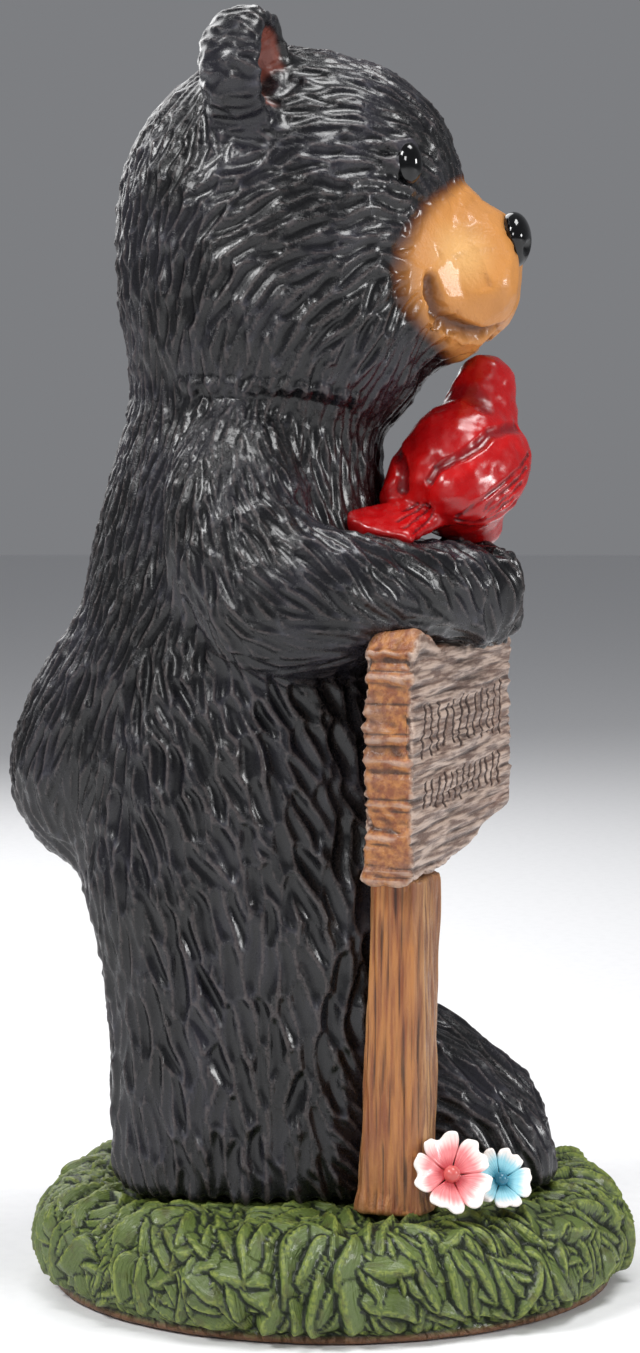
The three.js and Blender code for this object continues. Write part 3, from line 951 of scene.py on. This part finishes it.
@dataclass
class Bear:
    """The bear: fur that is all gouge marks, a smooth muzzle, glossy eyes and nose."""

    node: bpy.types.Object
    voxel: float = 1.96
    seed: int = 11
    mark_scale: Place = (1.15, 1.35, 2.4)
    eye_place: Place = (42.2, 24.6, 377.4)
    ear_place: Place = (44.9, -27.2, 408.1)
    nose_place: Place = (9.6, 60.9, 354.6)
    snout_middle: Place = (4.0, 46.0, 343.0)
    eye_half: Place = (4.8, 4.8, 7.0)
    nose_half: Place = (10.2, 6.0, 9.4)
    soles: float = 37.0
    slices: tuple[tuple[str, float, float], ...] = (
        ("bear_head", 303.0, 900.0),
        ("bear_chest", 206.0, 303.0),
        ("bear_haunches", 118.0, 206.0),
        ("bear_legs", -900.0, 118.0),
    )

    def snout(self, carving: Carving) -> np.ndarray:
        """Measures the points against the bare muzzle.

        Args:
            carving: the bear.

        Returns:
            How far inside it each point lies, in centimetres, and less than 0 outside it.
        """
        right, front, up = (carving.points / MM * np.array([-1, -1, 1])).T
        middle_right, _, middle_up = self.snout_middle
        border = 20 + 19 * ((up - middle_up) / 30) ** 2
        across = 44 - np.abs(right - middle_right)
        return np.minimum(front - border, across) / 10

    def soften(self, carving: Carving) -> None:
        """Smooths the CAD form's facets away, and less on the ears, the paws and the muzzle.

        Args:
            carving: the bear.
        """
        free = np.ones(len(carving.points))
        for side in Side:
            free -= 0.85 * carving.pull(mirrored(self.ear_place, side), 34)
        free -= 0.6 * carving.pull((14, 56, 236), 46) + 0.6 * carving.pull((-24, 44, 240), 40)
        free -= 0.5 * carving.pull(self.nose_place, 30)
        carving.smooth(26, np.clip(free, 0.08, 1))
        carving.points += carving.normals() * 0.5 * MM

    def model(self, carving: Carving) -> None:
        """Shapes the muzzle, the brow and the cheeks, and takes the CAD nose back under the bead's place.

        Args:
            carving: the bear, softened.
        """
        for side in Side:
            lobe = (12 + 11 * side.value, 54, 337)
            carving.nudge(lobe, 14, (2.4 * side.value, 1.6, -0.8))
            carving.nudge(mirrored((36, 24, 330), side), 22, (2.0 * side.value, 0, 0))
            carving.nudge(mirrored((40, 31, 379), side), 12, (-1.5 * side.value, -1.5, 0))
        carving.nudge((6, 56, 322), 13, (0, -4.5, 0.5))
        carving.nudge((6, 41, 372), 17, (0, 1.5, 3.2))
        carving.nudge((9, 66, 350), 11, (0, -3.0, 0))
        carving.nudge((8, 62, 340), 19, (0, -4.6, 0))
        middle = spot(*self.nose_place)
        away = carving.points - middle
        inside = np.linalg.norm(away / (np.array([14, 8.6, 12]) * MM), axis=1)
        carving.points -= away * (0.45 * (1 - ease(inside, 0.8, 1.15)))[:, None]

    def mouth(self, carving: Carving, tree: KDTree) -> np.ndarray:
        """Carves the mouth and the line under the nose.

        Args:
            carving: the bear.
            tree: a search tree over its points.

        Returns:
            How much painted shade each point gets in the grooves, from 0 to 1.
        """
        ink = np.zeros(len(carving.points))
        for side in Side:
            lip = [
                (5 + 30 * side.value, 30, 340),
                (5 + 28 * side.value, 32, 331),
                (6 + 21 * side.value, 39, 326),
                (9 + 10 * side.value, 48, 325),
                (14 + 2 * side.value, 55, 329),
                (15, 58, 337),
            ]
            ink = np.maximum(ink, carving.score(lip, 3.4, 3.6, tree))
        seam = [(15, 58, 337), (15, 60, 343), (13, 62, 350)]
        return np.maximum(ink, carving.score(seam, 2.4, 2.4, tree))

    def build(self) -> None:
        """Builds the bear and hands over its pieces."""
        carving = Carving("bear", self.node, self.voxel)
        self.soften(carving)
        self.model(carving)
        carving.refine()
        tree = carving.tree()
        ink = self.mouth(carving, tree)
        welt = self.folds(carving, tree)
        normals = carving.normals()
        snout = self.snout(carving)
        rose = self.ear_hollows(carving, normals)
        skip = (snout > -0.05) | (carving.points[:, 2] < self.soles * MM) | (welt > 0.35) | (rose > 0)
        for side in Side:
            skip |= carving.pull(mirrored(self.eye_place, side), 10) > 0
        rose = carving.blur(rose, rounds=3)
        flow = self.flow()
        marks = carving.stamp(flow, Strokes(self.seed, spread=1.3, turn=0.2, level=0.1), skip, tree)
        marks.height = carving.blur(marks.height, share=0.6)
        mean = carving.blur(0.5 * flow.at(carving.points)[1][:, 2] * (~skip), rounds=12, share=1.0)
        carving.points += normals * (mean - marks.height)[:, None]
        bare = 1 - ease(marks.height, 0.0, 0.6 * MM)
        along, across = marks.place[:, 0], marks.place[:, 1]
        # Where the painted highlight goes: the lower tips of the marks.
        tips = ease(along, 0.3, 1.0) * (1 - across**2) * (marks.height > 0)
        facets = self.facets(carving, snout, normals)
        carving.points += normals * (facets * ease(snout, 0.0, 0.6))[:, None]
        carving.layers = {
            "crest": carving.crest(normals, size=0.2),
            "mark": marks.place,
            "snout": np.clip(snout, -1, 1),
            # painted shade in the mouth grooves
            "ink": ink * 0.9,
            "bare": carving.blur(bare),
            # the painted highlight on the marks' lower tips
            "tip": carving.blur(tips),
            "rose": rose * 0.75,
            # a painted highlight on the muzzle's near lobe
            "painted_muzzle_highlight": carving.pull((30, 42, 349), 15),
        }
        paint = FurPaint().make()
        pieces = carving.slices(self.slices)
        hand_over(pieces[0], "bear_paint", paint, "bear")
        for piece in pieces[1:]:
            hand_over(piece, "bear_paint", paint)
        self.face()

    def ear_hollows(self, carving: Carving, normals: np.ndarray) -> np.ndarray:
        """Finds the insides of the ears.

        Args:
            carving: the bear.
            normals: the surface's direction at each point.

        Returns:
            1 for each point inside an ear, and 0 for the others.
        """
        rose = np.zeros(len(carving.points))
        for side in Side:
            near = carving.pull(mirrored((45.5, -23.0, 408), side), 12.5) > 0
            facing = (-normals[:, 1] > 0.15) & (-normals[:, 0] * side.value > -0.3)
            rose = np.maximum(rose, (near & facing).astype(float))
        return rose

    def flow(self) -> Flow:
        """Takes the fur's guides to both sides.

        Returns:
            The run of the gouge marks.
        """
        guides = []
        for place, heading, size in FUR:
            scaled = tuple(np.array(size) * self.mark_scale)
            for side in Side:
                guides.append(Guide(mirrored(place, side), mirrored(heading, side), scaled))
        return Flow(guides)

    def folds(self, carving: Carving, tree: KDTree) -> np.ndarray:
        """Raises the welt across the neck and rings round the eyes, and parts the arms and the fingers.

        Args:
            carving: the bear.
            tree: a search tree over its points.

        Returns:
            How far each point lies in a welt or a ring, from 0 to 1.
        """
        bare = np.zeros(len(carving.points))
        for side in Side:
            welt = [(48, -50, 305), (56, -34, 304.5), (57, -15, 304), (50, -2, 303), (42, 7, 302)]
            path = [mirrored(place, side) for place in welt]
            bare = np.maximum(bare, carving.score(path, 3.4, -1.7, tree))
            arm = [(52, 6, 262), (62, -4, 268), (70, -22, 272)]
            arm += [(70, -42, 262), (66, -52, 246), (66, -50, 228)]
            carving.score([mirrored(place, side) for place in arm], 5, 0.9, tree)
            turns = np.linspace(0, math.tau, 13)
            right, front, up = self.eye_place
            ring = [(right - 0.5, front + 6.8 * math.cos(a), up + 9.0 * math.sin(a)) for a in turns]
            bare = np.maximum(bare, carving.score([mirrored(place, side) for place in ring], 2.4, -0.7, tree))
        for fold in range(3):
            shift = 8.5 * fold
            path = [(30 - shift, 42, 252), (30 - shift, 56, 248)]
            path += [(29 - shift, 65, 236), (28 - shift, 64, 224)]
            carving.score(path, 2.0, 1.6, tree)
        return bare

    def facets(self, carving: Carving, snout: np.ndarray, normals: np.ndarray) -> np.ndarray:
        """Makes the flat knife cuts of the muzzle: each point goes towards its nearest cut's plane.

        Args:
            carving: the bear.
            snout: how far inside the muzzle each point lies.
            normals: the surface's direction at each point.

        Returns:
            How far each point goes outward, in metres.
        """
        rng = np.random.default_rng(self.seed + 1)
        bare = np.flatnonzero(snout > 0.1)
        centres = rng.choice(bare, 120, replace=False)
        places, facing = carving.points[centres], normals[centres]
        shift = np.zeros(len(carving.points))
        away = carving.points[bare][:, None, :] - places[None]
        nearest = np.linalg.norm(away, axis=2).argmin(axis=1)
        own = away[np.arange(len(bare)), nearest]
        shift[bare] = -(own * facing[nearest]).sum(axis=1)
        shift = np.clip(shift, -0.5 * MM, 0.5 * MM)
        return 0.7 * shift + 0.4 * carving.around(shift)

    def face(self) -> None:
        """Adds the eyes and the nose."""
        gloss = PlainPaint("bead_black", paint_colour(4, 4, 5), paint_colour(6, 6, 7), roughness=0.09).make()
        eyes = beads("eyes", [mirrored(self.eye_place, side) for side in Side], self.eye_half, detail=40)
        hand_over(eyes, "bear_paint", gloss)
        nose = beads("nose", [self.nose_place], self.nose_half, detail=48)
        form = bmesh.new()
        form.from_mesh(nose.data)
        middle = Vector(spot(*self.nose_place))
        for corner in form.verts:
            right = -(corner.co.x - middle.x) / MM
            front = -(corner.co.y - middle.y) / MM
            up = (corner.co.z - middle.z) / MM
            narrowing = 1 - 0.035 * max(0.0, -up)
            corner.co.x = middle.x - right * narrowing * MM
            for side in Side:
                reach = ((right - 5.2 * side.value) / 3.0) ** 2 + ((up + 2.5) / 2.6) ** 2
                if front > 0 and reach < 1:
                    corner.co.y += 2.4 * (1 - reach) * MM
        form.to_mesh(nose.data)
        form.free()
        hand_over(nose, "bear_paint", gloss)


@dataclass
class Base:
    """The grassy mound: tufts laid over each other, above a thin brown rim."""

    node: bpy.types.Object
    voxel: float = 2.2
    seed: int = 23
    shrink: float = 7.0
    rim: float = 3.5

    def build(self) -> None:
        """Builds the mound and hands it over."""
        carving = Carving("grass_base", self.node, self.voxel)
        carving.smooth(8)
        carving.refine()
        normals = carving.normals()
        side = ease(normals[:, 2], -0.9, -0.3)
        carving.points -= normals * (side * self.shrink * MM)[:, None]
        low = carving.points[:, 2] < self.rim * MM
        skip = low | (normals[:, 2] < -0.8)
        style = Strokes(self.seed, spread=0.66, turn=0.9, level=0.9, shares=(1.0, 0.7), blade=0.9)
        marks = carving.stamp(self.flow(), style, skip, carving.tree())
        swell = ripple(carving.points, 30 * MM, self.seed) * 0.8 * MM
        height = (marks.height + swell) * ease(carving.points[:, 2], 1 * MM, 9 * MM)
        carving.points += normals * (height * side)[:, None]
        carving.points[:, 2] = np.maximum(carving.points[:, 2], 0)
        carving.layers = {
            "crest": carving.crest(normals, size=0.3),
            "mark": marks.place,
            # how high the tufts stand; the paint puts painted shade where they are low
            "low": np.clip(marks.height / (6 * MM) - 0.25, 0, 1),
            "rim": 1 - ease(carving.points[:, 2], 2.0 * MM, self.rim * MM),
        }
        hand_over(carving.finished(), "grass_paint", GrassPaint().make(), "grass_base")

    def flow(self) -> Flow:
        """Lays out tufts that stand up the side, and swirl on the top.

        Returns:
            The run of the tufts.
        """
        rng = np.random.default_rng(self.seed)
        guides = []
        for step in range(24):
            angle = math.tau * step / 24
            right, front = math.cos(angle), math.sin(angle)
            lean = rng.uniform(-1.3, 0.9)
            heading = (-front * lean, right * lean, 1.0)
            guides.append(Guide((right * 98, front * 100, rng.uniform(8, 26)), heading, (10, 4.5, 5.0)))
            swirl = rng.uniform(0, math.tau)
            top = (math.cos(swirl), math.sin(swirl), 0.2)
            guides.append(Guide((right * 66, front * 66, 36), top, (9, 4.0, 4.4)))
        return Flow(guides)


@dataclass
class Sign:
    """The plank sign: its board, with rows of shallow marks, and its post."""

    board: bpy.types.Object
    post: bpy.types.Object
    turn: float = math.radians(17.2)
    voxel: float = 0.95
    crest_size: float = 0.22
    seed: int = 37

    def local(self, points: np.ndarray) -> np.ndarray:
        """Turns points or directions into the sign's frame.

        Args:
            points: the points or directions.

        Returns:
            The same, along the board to the bear's left, backward, and up.
        """
        cos, sin = math.cos(self.turn), math.sin(self.turn)
        x, y, z = points.T
        return np.stack([cos * x - sin * y, sin * x + cos * y, z], axis=1)

    def build_board(self) -> None:
        """Builds the board and hands it over."""
        carving = Carving("sign_board", self.board, self.voxel)
        carving.smooth(2)
        normals = carving.normals()
        local = self.local(carving.points)
        facing = self.local(normals)
        low, high = local.min(axis=0), local.max(axis=0)
        near_end = ease(-facing[:, 0], 0.35, 0.8)
        top = ease(facing[:, 2], 0.5, 0.9)
        front = ease(-facing[:, 1], 0.6, 0.9)
        back = ease(facing[:, 1], 0.6, 0.9)
        lengthwise = local * np.array([0.06, 0.0, 1.0])
        grain = ripple(lengthwise, 3.2 * MM, self.seed, 24)
        grain += 0.6 * ripple(lengthwise, 1.5 * MM, self.seed + 1, 24)
        across = local * np.array([0.0, 0.12, 1.0])
        steps = 1.1 - 2.0 * np.abs(ripple(across, 7 * MM, self.seed + 2, 10))
        steps += 0.5 * ripple(local, 5 * MM, self.seed + 3)
        ends = np.maximum(near_end, ease(facing[:, 0], 0.35, 0.8))
        rounds = np.maximum(ends, ease(low[0] + 4 * MM - local[:, 0], 0, 3 * MM))
        phase = 2.0 * ripple(across, 13 * MM, self.seed + 11)
        ridges = np.abs(np.sin(math.pi * local[:, 2] / (6.4 * MM) + phase))
        height = 0.45 * grain * np.maximum(front, back) + (0.8 * steps + 1.0 * ridges - 0.7) * rounds
        height += 0.45 * ripple(local * np.array([0.4, 1, 1]), 5 * MM, self.seed + 4) * top
        lower = ease(low[2] + 5 * MM - local[:, 2], 0, 4 * MM)
        height += 1.0 * ripple(local * np.array([1, 0.3, 0.2]), 7 * MM, self.seed + 5) * lower
        carving.points += normals * (height * MM)[:, None]
        near = (local[:, 0] - low[0]) / MM
        chips = 5.5 + 1.3 * ripple(local * np.array([1, 0.5, 0]), 9 * MM, self.seed + 9)
        raised = ease(near, 2, 11) * (1 - ease(near, 22, 38)) * ease(local[:, 2], high[2] - 9 * MM, high[2])
        carving.points[:, 2] += raised * chips * MM
        ink = self.strokes(carving, local, low, high, front)
        carving.layers = {
            "crest": carving.blur(carving.crest(normals, self.crest_size)),
            # the painted highlight: gold on the board's near end and the near part of its top
            "golden": np.maximum(near_end, 0.9 * top * ease(low[0] + 52 * MM - local[:, 0], 0, 20 * MM)),
            "ink": ink,
        }
        face, streak = paint_colour(108, 84, 72), paint_colour(190, 166, 150)
        paint = WoodPaint("board_paint", face, streak, grain=(0.1, 1.0, 1.0), turn=self.turn).make()
        hand_over(carving.finished(), "board_paint", paint, "sign_board")

    def strokes(
        self, carving: Carving, local: np.ndarray, low: np.ndarray, high: np.ndarray, front: np.ndarray
    ) -> np.ndarray:
        """Cuts two rows of shallow slanted marks into the board's front.

        Args:
            carving: the board.
            local: its points in the sign's frame.
            low: the lowest of their coordinates.
            high: the highest of their coordinates.
            front: how far each point belongs to the front face, from 0 to 1.

        Returns:
            How dark each point gets, from 0 to 1.
        """
        rng = np.random.default_rng(self.seed)
        ink = np.zeros(len(local))
        rows = ((high[2] - 27 * MM, 9.5, 9.0), (high[2] - 48 * MM, 6.0, 8.0))
        for level, half, pitch in rows:
            marks = np.arange(low[0] + 16 * MM, high[0] - 12 * MM, pitch * MM)
            for along in marks:
                lean = rng.uniform(-0.25, 0.25)
                tall = half * rng.uniform(0.7, 1.0)
                up = (local[:, 2] - level) / MM
                side = (local[:, 0] - along) / MM - lean * up - 0.8 * np.sin(up / 3)
                cut = np.clip(1.4 - (side / 1.5) ** 2, 0, 1) * (np.abs(up) < tall)
                ink = np.maximum(ink, cut)
        ink *= front
        carving.points -= carving.normals() * (0.9 * MM * ink)[:, None]
        return ink

    def build_post(self) -> None:
        """Builds the post and hands it over."""
        carving = Carving("sign_post", self.post, self.voxel)
        carving.smooth(2)
        normals = carving.normals()
        local = self.local(carving.points)
        facing = self.local(normals)
        side = 1 - np.abs(normals[:, 2])
        upright = local * np.array([1.0, 1.0, 0.05])
        grain = ripple(upright, 2.6 * MM, self.seed + 6, 24)
        grain += 0.7 * ripple(upright, 1.3 * MM, self.seed + 7, 24)
        broad = ripple(local * np.array([1, 1, 0.3]), 9 * MM, self.seed + 8)
        carving.points += normals * ((0.42 * grain + 0.35 * broad) * side * MM)[:, None]
        foot = ease(44 * MM + 3 * MM * broad - local[:, 2], 0, 8 * MM)
        outward = np.stack([normals[:, 0], normals[:, 1], np.zeros(len(normals))], axis=1)
        carving.points += outward * (foot * 1.8 * MM)[:, None]
        carving.layers = {
            "crest": carving.blur(carving.crest(normals, self.crest_size)),
            # the painted highlight: gold on the post's face toward the camera
            "golden": ease(-facing[:, 0], 0.3, 0.8),
            # darker towards the bottom of the post
            "ink": foot * 0.25,
        }
        face, streak = paint_colour(124, 80, 52), paint_colour(176, 130, 84)
        paint = WoodPaint("post_paint", face, streak, grain=(1.0, 1.0, 0.08), turn=self.turn).make()
        hand_over(carving.finished(), "post_paint", paint, "sign_post")


@dataclass
class Cardinal:
    """The bird on the right forepaw, seen from behind: folded wings, a fanned tail and a low crest."""

    node: bpy.types.Object
    stand: Place = (15.3, 43.3, 255.1)
    turn: float = math.radians(-38)
    length: float = 78.0
    voxel: float = 1.0
    seed: int = 41

    def on_bird(self, ahead: float, left: float, up: float) -> Place:
        """Finds a place on the bird, from the middle of its stand.

        Args:
            ahead: how far ahead it lies, in hundredths of the bird's length.
            left: how far to the bird's left.
            up: how far up.

        Returns:
            The place as (right, front, up) of the bear.
        """
        cos, sin = math.cos(self.turn), math.sin(self.turn)
        share = self.length / 100
        x = (ahead * cos - left * sin) * share
        y = (ahead * sin + left * cos) * share
        return (self.stand[0] - x, self.stand[1] - y, self.stand[2] + up * share)

    def build(self) -> None:
        """Builds the bird and hands it over."""
        carving = Carving("cardinal", self.node, self.voxel)
        free = np.ones(len(carving.points)) - 0.7 * carving.pull(self.on_bird(-46, 0, 2), 26)
        carving.smooth(16, np.clip(free, 0.06, 1))
        carving.points += carving.normals() * 0.6 * MM
        carving.nudge(self.on_bird(2, 0, 4), 22, (0, 0, -3))
        carving.nudge(self.on_bird(-46, 0, 4), 30, (0, -9, 0.8))
        carving.refine()
        tree = carving.tree()
        ink = np.zeros(len(carving.points))
        for side in Side:
            left = -side.value
            edge = [self.on_bird(14, 22 * left, 48), self.on_bird(-6, 17 * left, 42)]
            edge.append(self.on_bird(-22, 9 * left, 22))
            ink = np.maximum(ink, 0.8 * carving.score(edge, 2.6, 1.3, tree))
            under = [self.on_bird(26, 25 * left, 34), self.on_bird(8, 27 * left, 16)]
            under.append(self.on_bird(-20, 16 * left, 10))
            ink = np.maximum(ink, 0.6 * carving.score(under, 1.8, 1.0, tree))
            for feather in range(4):
                start = self.on_bird(14 - 5 * feather, 27 * left, 36 - 6 * feather)
                carving.score([start, self.on_bird(-22, 14 * left, 15 - 2 * feather)], 1.2, 0.6, tree)
        for vane in range(5):
            out = (vane - 2) * 6.5
            carving.score([self.on_bird(-22, out * 0.4, 14), self.on_bird(-50, out, 4)], 0.9, 0.5, tree)
        neck = [self.on_bird(-2, 14, 58), self.on_bird(2, 0, 62), self.on_bird(-2, -14, 58)]
        ink = np.maximum(ink, 0.7 * carving.score(neck, 4.5, 0.6, tree))
        normals = carving.normals()
        carving.points += normals * (0.18 * MM * ripple(carving.points, 5 * MM, self.seed))[:, None]
        beak = carving.pull(self.on_bird(36, 0, 61), 6.5)
        mask = carving.pull(self.on_bird(31, 0, 61), 10)
        carving.layers = {
            "crest": carving.crest(normals, size=0.09),
            # painted maroon shade in the grooves
            "ink": carving.blur(ink, rounds=4),
            "beak": ease(beak, 0.1, 0.25),
            "mask": ease(mask, 0.1, 0.3),
        }
        hand_over(carving.finished(), "cardinal_paint", FeatherPaint().make(), "cardinal")
        black, brown = paint_colour(8, 6, 6), paint_colour(12, 10, 10)
        gloss = PlainPaint("bird_eye_black", black, brown, roughness=0.08, coat=0.8).make()
        places = [self.on_bird(24, 8.6 * side.value, 66) for side in Side]
        hand_over(beads("bird_eyes", places, (1.5, 1.5, 1.5), detail=20), "cardinal_paint", gloss)


@dataclass
class Flower:
    """One flower at the post's foot: five cupped, notched petals round a button."""

    node: bpy.types.Object
    slot: str
    paint: PetalPaint
    first: float
    facing: float = math.radians(-72)
    lean: float = math.radians(30)
    petals: int = 5
    thickness: float = 1.3

    def petal(self, form: bmesh.types.BMesh, span: float, turn: float, place: Matrix, tag: float) -> None:
        """Adds one petal.

        Args:
            form: what it is added to.
            span: the flower's width in millimetres.
            turn: where it stands round the button.
            place: the flower's own frame.
            tag: a number that tells its rays from the others'.
        """
        rows = 9
        made = bmesh.ops.create_grid(form, x_segments=rows, y_segments=rows, size=1)["verts"]
        reach = form.verts.layers.float["reach"]
        ray = form.verts.layers.float_vector["ray"]
        for corner in made:
            side, t = corner.co.x, (corner.co.y + 1) / 2
            notch = (0.16 * math.exp(-((side / 0.28) ** 2)) + 0.03 * math.sin(7 * side + 2 * tag)) * t**3
            out = (0.06 + 0.46 * t * (1 - 0.16 * side * side) - 0.5 * notch) * span
            half = (0.04 + 0.2 * math.sin(math.pi * min(t * 0.6, 1)) ** 1.3) * span
            half *= 1 + 0.14 * math.sin(3 * tag)
            cup = span * (0.1 * t * t + 0.06 * side * side * t - 0.05 * math.cos(3 * side + tag) * t**3)
            corner[reach] = t
            corner[ray] = (side + 2.5 * tag, t, tag)
            spun = Matrix.Rotation(turn, 4, "Z") @ Vector((side * half, out, cup)) * MM
            corner.co = place @ spun

    def build(self) -> None:
        """Builds the flower and hands it over."""
        low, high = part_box(self.node.name)
        span = (high.z - low.z) / MM * 1.02
        place = (
            Matrix.Translation((low + high) / 2)
            @ Matrix.Rotation(self.facing, 4, "Z")
            @ Matrix.Rotation(math.pi / 2 - self.lean, 4, "X")
        )
        form = bmesh.new()
        form.verts.layers.float.new("reach")
        form.verts.layers.float_vector.new("ray")
        form.verts.layers.float.new("button")
        for number in range(self.petals):
            self.petal(form, span, self.first + math.tau * number / self.petals, place, number)
        bmesh.ops.recalc_face_normals(form, faces=form.faces)
        button = form.verts.layers.float["button"]
        pads = bmesh.ops.create_uvsphere(
            form,
            u_segments=16,
            v_segments=10,
            radius=span * 0.085 * MM,
            matrix=place @ Matrix.Translation((0, 0, span * 0.05 * MM)),
        )["verts"]
        for corner in pads:
            corner[button] = 1.0
        piece = made_object(self.node.name + "_petals", form)
        piece.data.shade_smooth()
        wall = piece.modifiers.new("wall", "SOLIDIFY")
        wall.thickness = self.thickness * MM
        wall.offset = 0
        rounding = piece.modifiers.new("rounding", "SUBSURF")
        rounding.levels = rounding.render_levels = 1
        hand_over(piece, self.slot, self.paint.make(), self.node.name)


@dataclass
class Studio:
    """A pale floor, soft lights and a camera at the photograph's viewing angle."""

    camera_place: Place = (1092.0, 0.0, 293.7)
    target: Place = (0.0, -4.1, 207.0)
    focal: float = 85.2
    sensor: float = 36.0
    floor_half: float = 6.0
    world_tint: tuple[float, float, float, float] = (0.93, 0.95, 1.0, 1.0)
    world_strength: float = 0.22
    lights: tuple[tuple[str, Place, float, float], ...] = (
        ("key", (600, -1000, 1300), 0.4, 15),
        ("sheen", (1150, -420, 820), 0.3, 5),
        ("fill", (600, 1300, 600), 0.3, 9),
        ("top", (200, 300, 1500), 0.5, 12),
        ("back", (-1000, -500, 900), 1.0, 9),
    )

    def aim(self, thing: bpy.types.Object, target: Place) -> None:
        """Turns a camera or a light towards a place."""
        along = Vector(spot(*target)) - thing.location
        thing.rotation_euler = along.to_track_quat("-Z", "Y").to_euler()

    def camera(self) -> None:
        """Makes the camera."""
        data = bpy.data.cameras.new("camera")
        data.sensor_fit = "VERTICAL"
        data.sensor_height = self.sensor
        data.lens = self.focal
        thing = bpy.data.objects.new("camera", data)
        thing.location = spot(*self.camera_place)
        self.aim(thing, self.target)
        bpy.context.scene.collection.objects.link(thing)
        bpy.context.scene.camera = thing

    def light(self, name: str, place: Place, size: float, power: float) -> None:
        """Makes a square soft light that shines on the statue's middle.

        Args:
            name: its name.
            place: where it stands.
            size: its width in metres.
            power: its power in watts.
        """
        data = bpy.data.lights.new(name, "AREA")
        data.size = size
        data.energy = power
        thing = bpy.data.objects.new(name, data)
        thing.location = spot(*place)
        self.aim(thing, (0, 0, 200))
        bpy.context.scene.collection.objects.link(thing)

    def build(self) -> None:
        """Makes the floor, the lights, the world and the camera."""
        form = bmesh.new()
        bmesh.ops.create_grid(form, x_segments=2, y_segments=2, size=self.floor_half)
        floor = made_object("floor", form)
        pale = PlainPaint("floor_pale", (0.86, 0.86, 0.87), (0.84, 0.84, 0.85), roughness=0.7).make()
        floor.data.materials.append(pale)
        world = bpy.data.worlds.new("studio")
        world.use_nodes = True
        sky = world.node_tree.nodes["Background"].inputs
        sky["Color"].default_value = self.world_tint
        sky["Strength"].default_value = self.world_strength
        bpy.context.scene.world = world
        bpy.context.scene.view_settings.view_transform = "Standard"
        for name, place, size, power in self.lights:
            self.light(name, place, size, power)
        self.camera()


def main() -> None:
    """Builds the statue round the frame."""
    logging.basicConfig(level=logging.INFO, format="%(name)s: %(message)s")
    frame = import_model()
    nodes = frame["nodes"]
    Studio().build()
    Bear(nodes["bear"]).build()
    Base(nodes["grass_base"]).build()
    sign = Sign(nodes["sign_board"], nodes["sign_post"])
    sign.build_board()
    sign.build_post()
    Cardinal(nodes["cardinal"]).build()
    pink = PetalPaint("pink_paint", paint_colour(190, 58, 66), paint_colour(226, 128, 130))
    Flower(nodes["pink_flower"], "pink_paint", pink, 0.25).build()
    teal = paint_colour(52, 140, 164)
    blue = PetalPaint("blue_paint", teal, paint_colour(140, 200, 214), button=paint_colour(40, 110, 134))
    Flower(nodes["blue_flower"], "blue_paint", blue, 0.7).build()


if __name__ == "__main__":
    main()
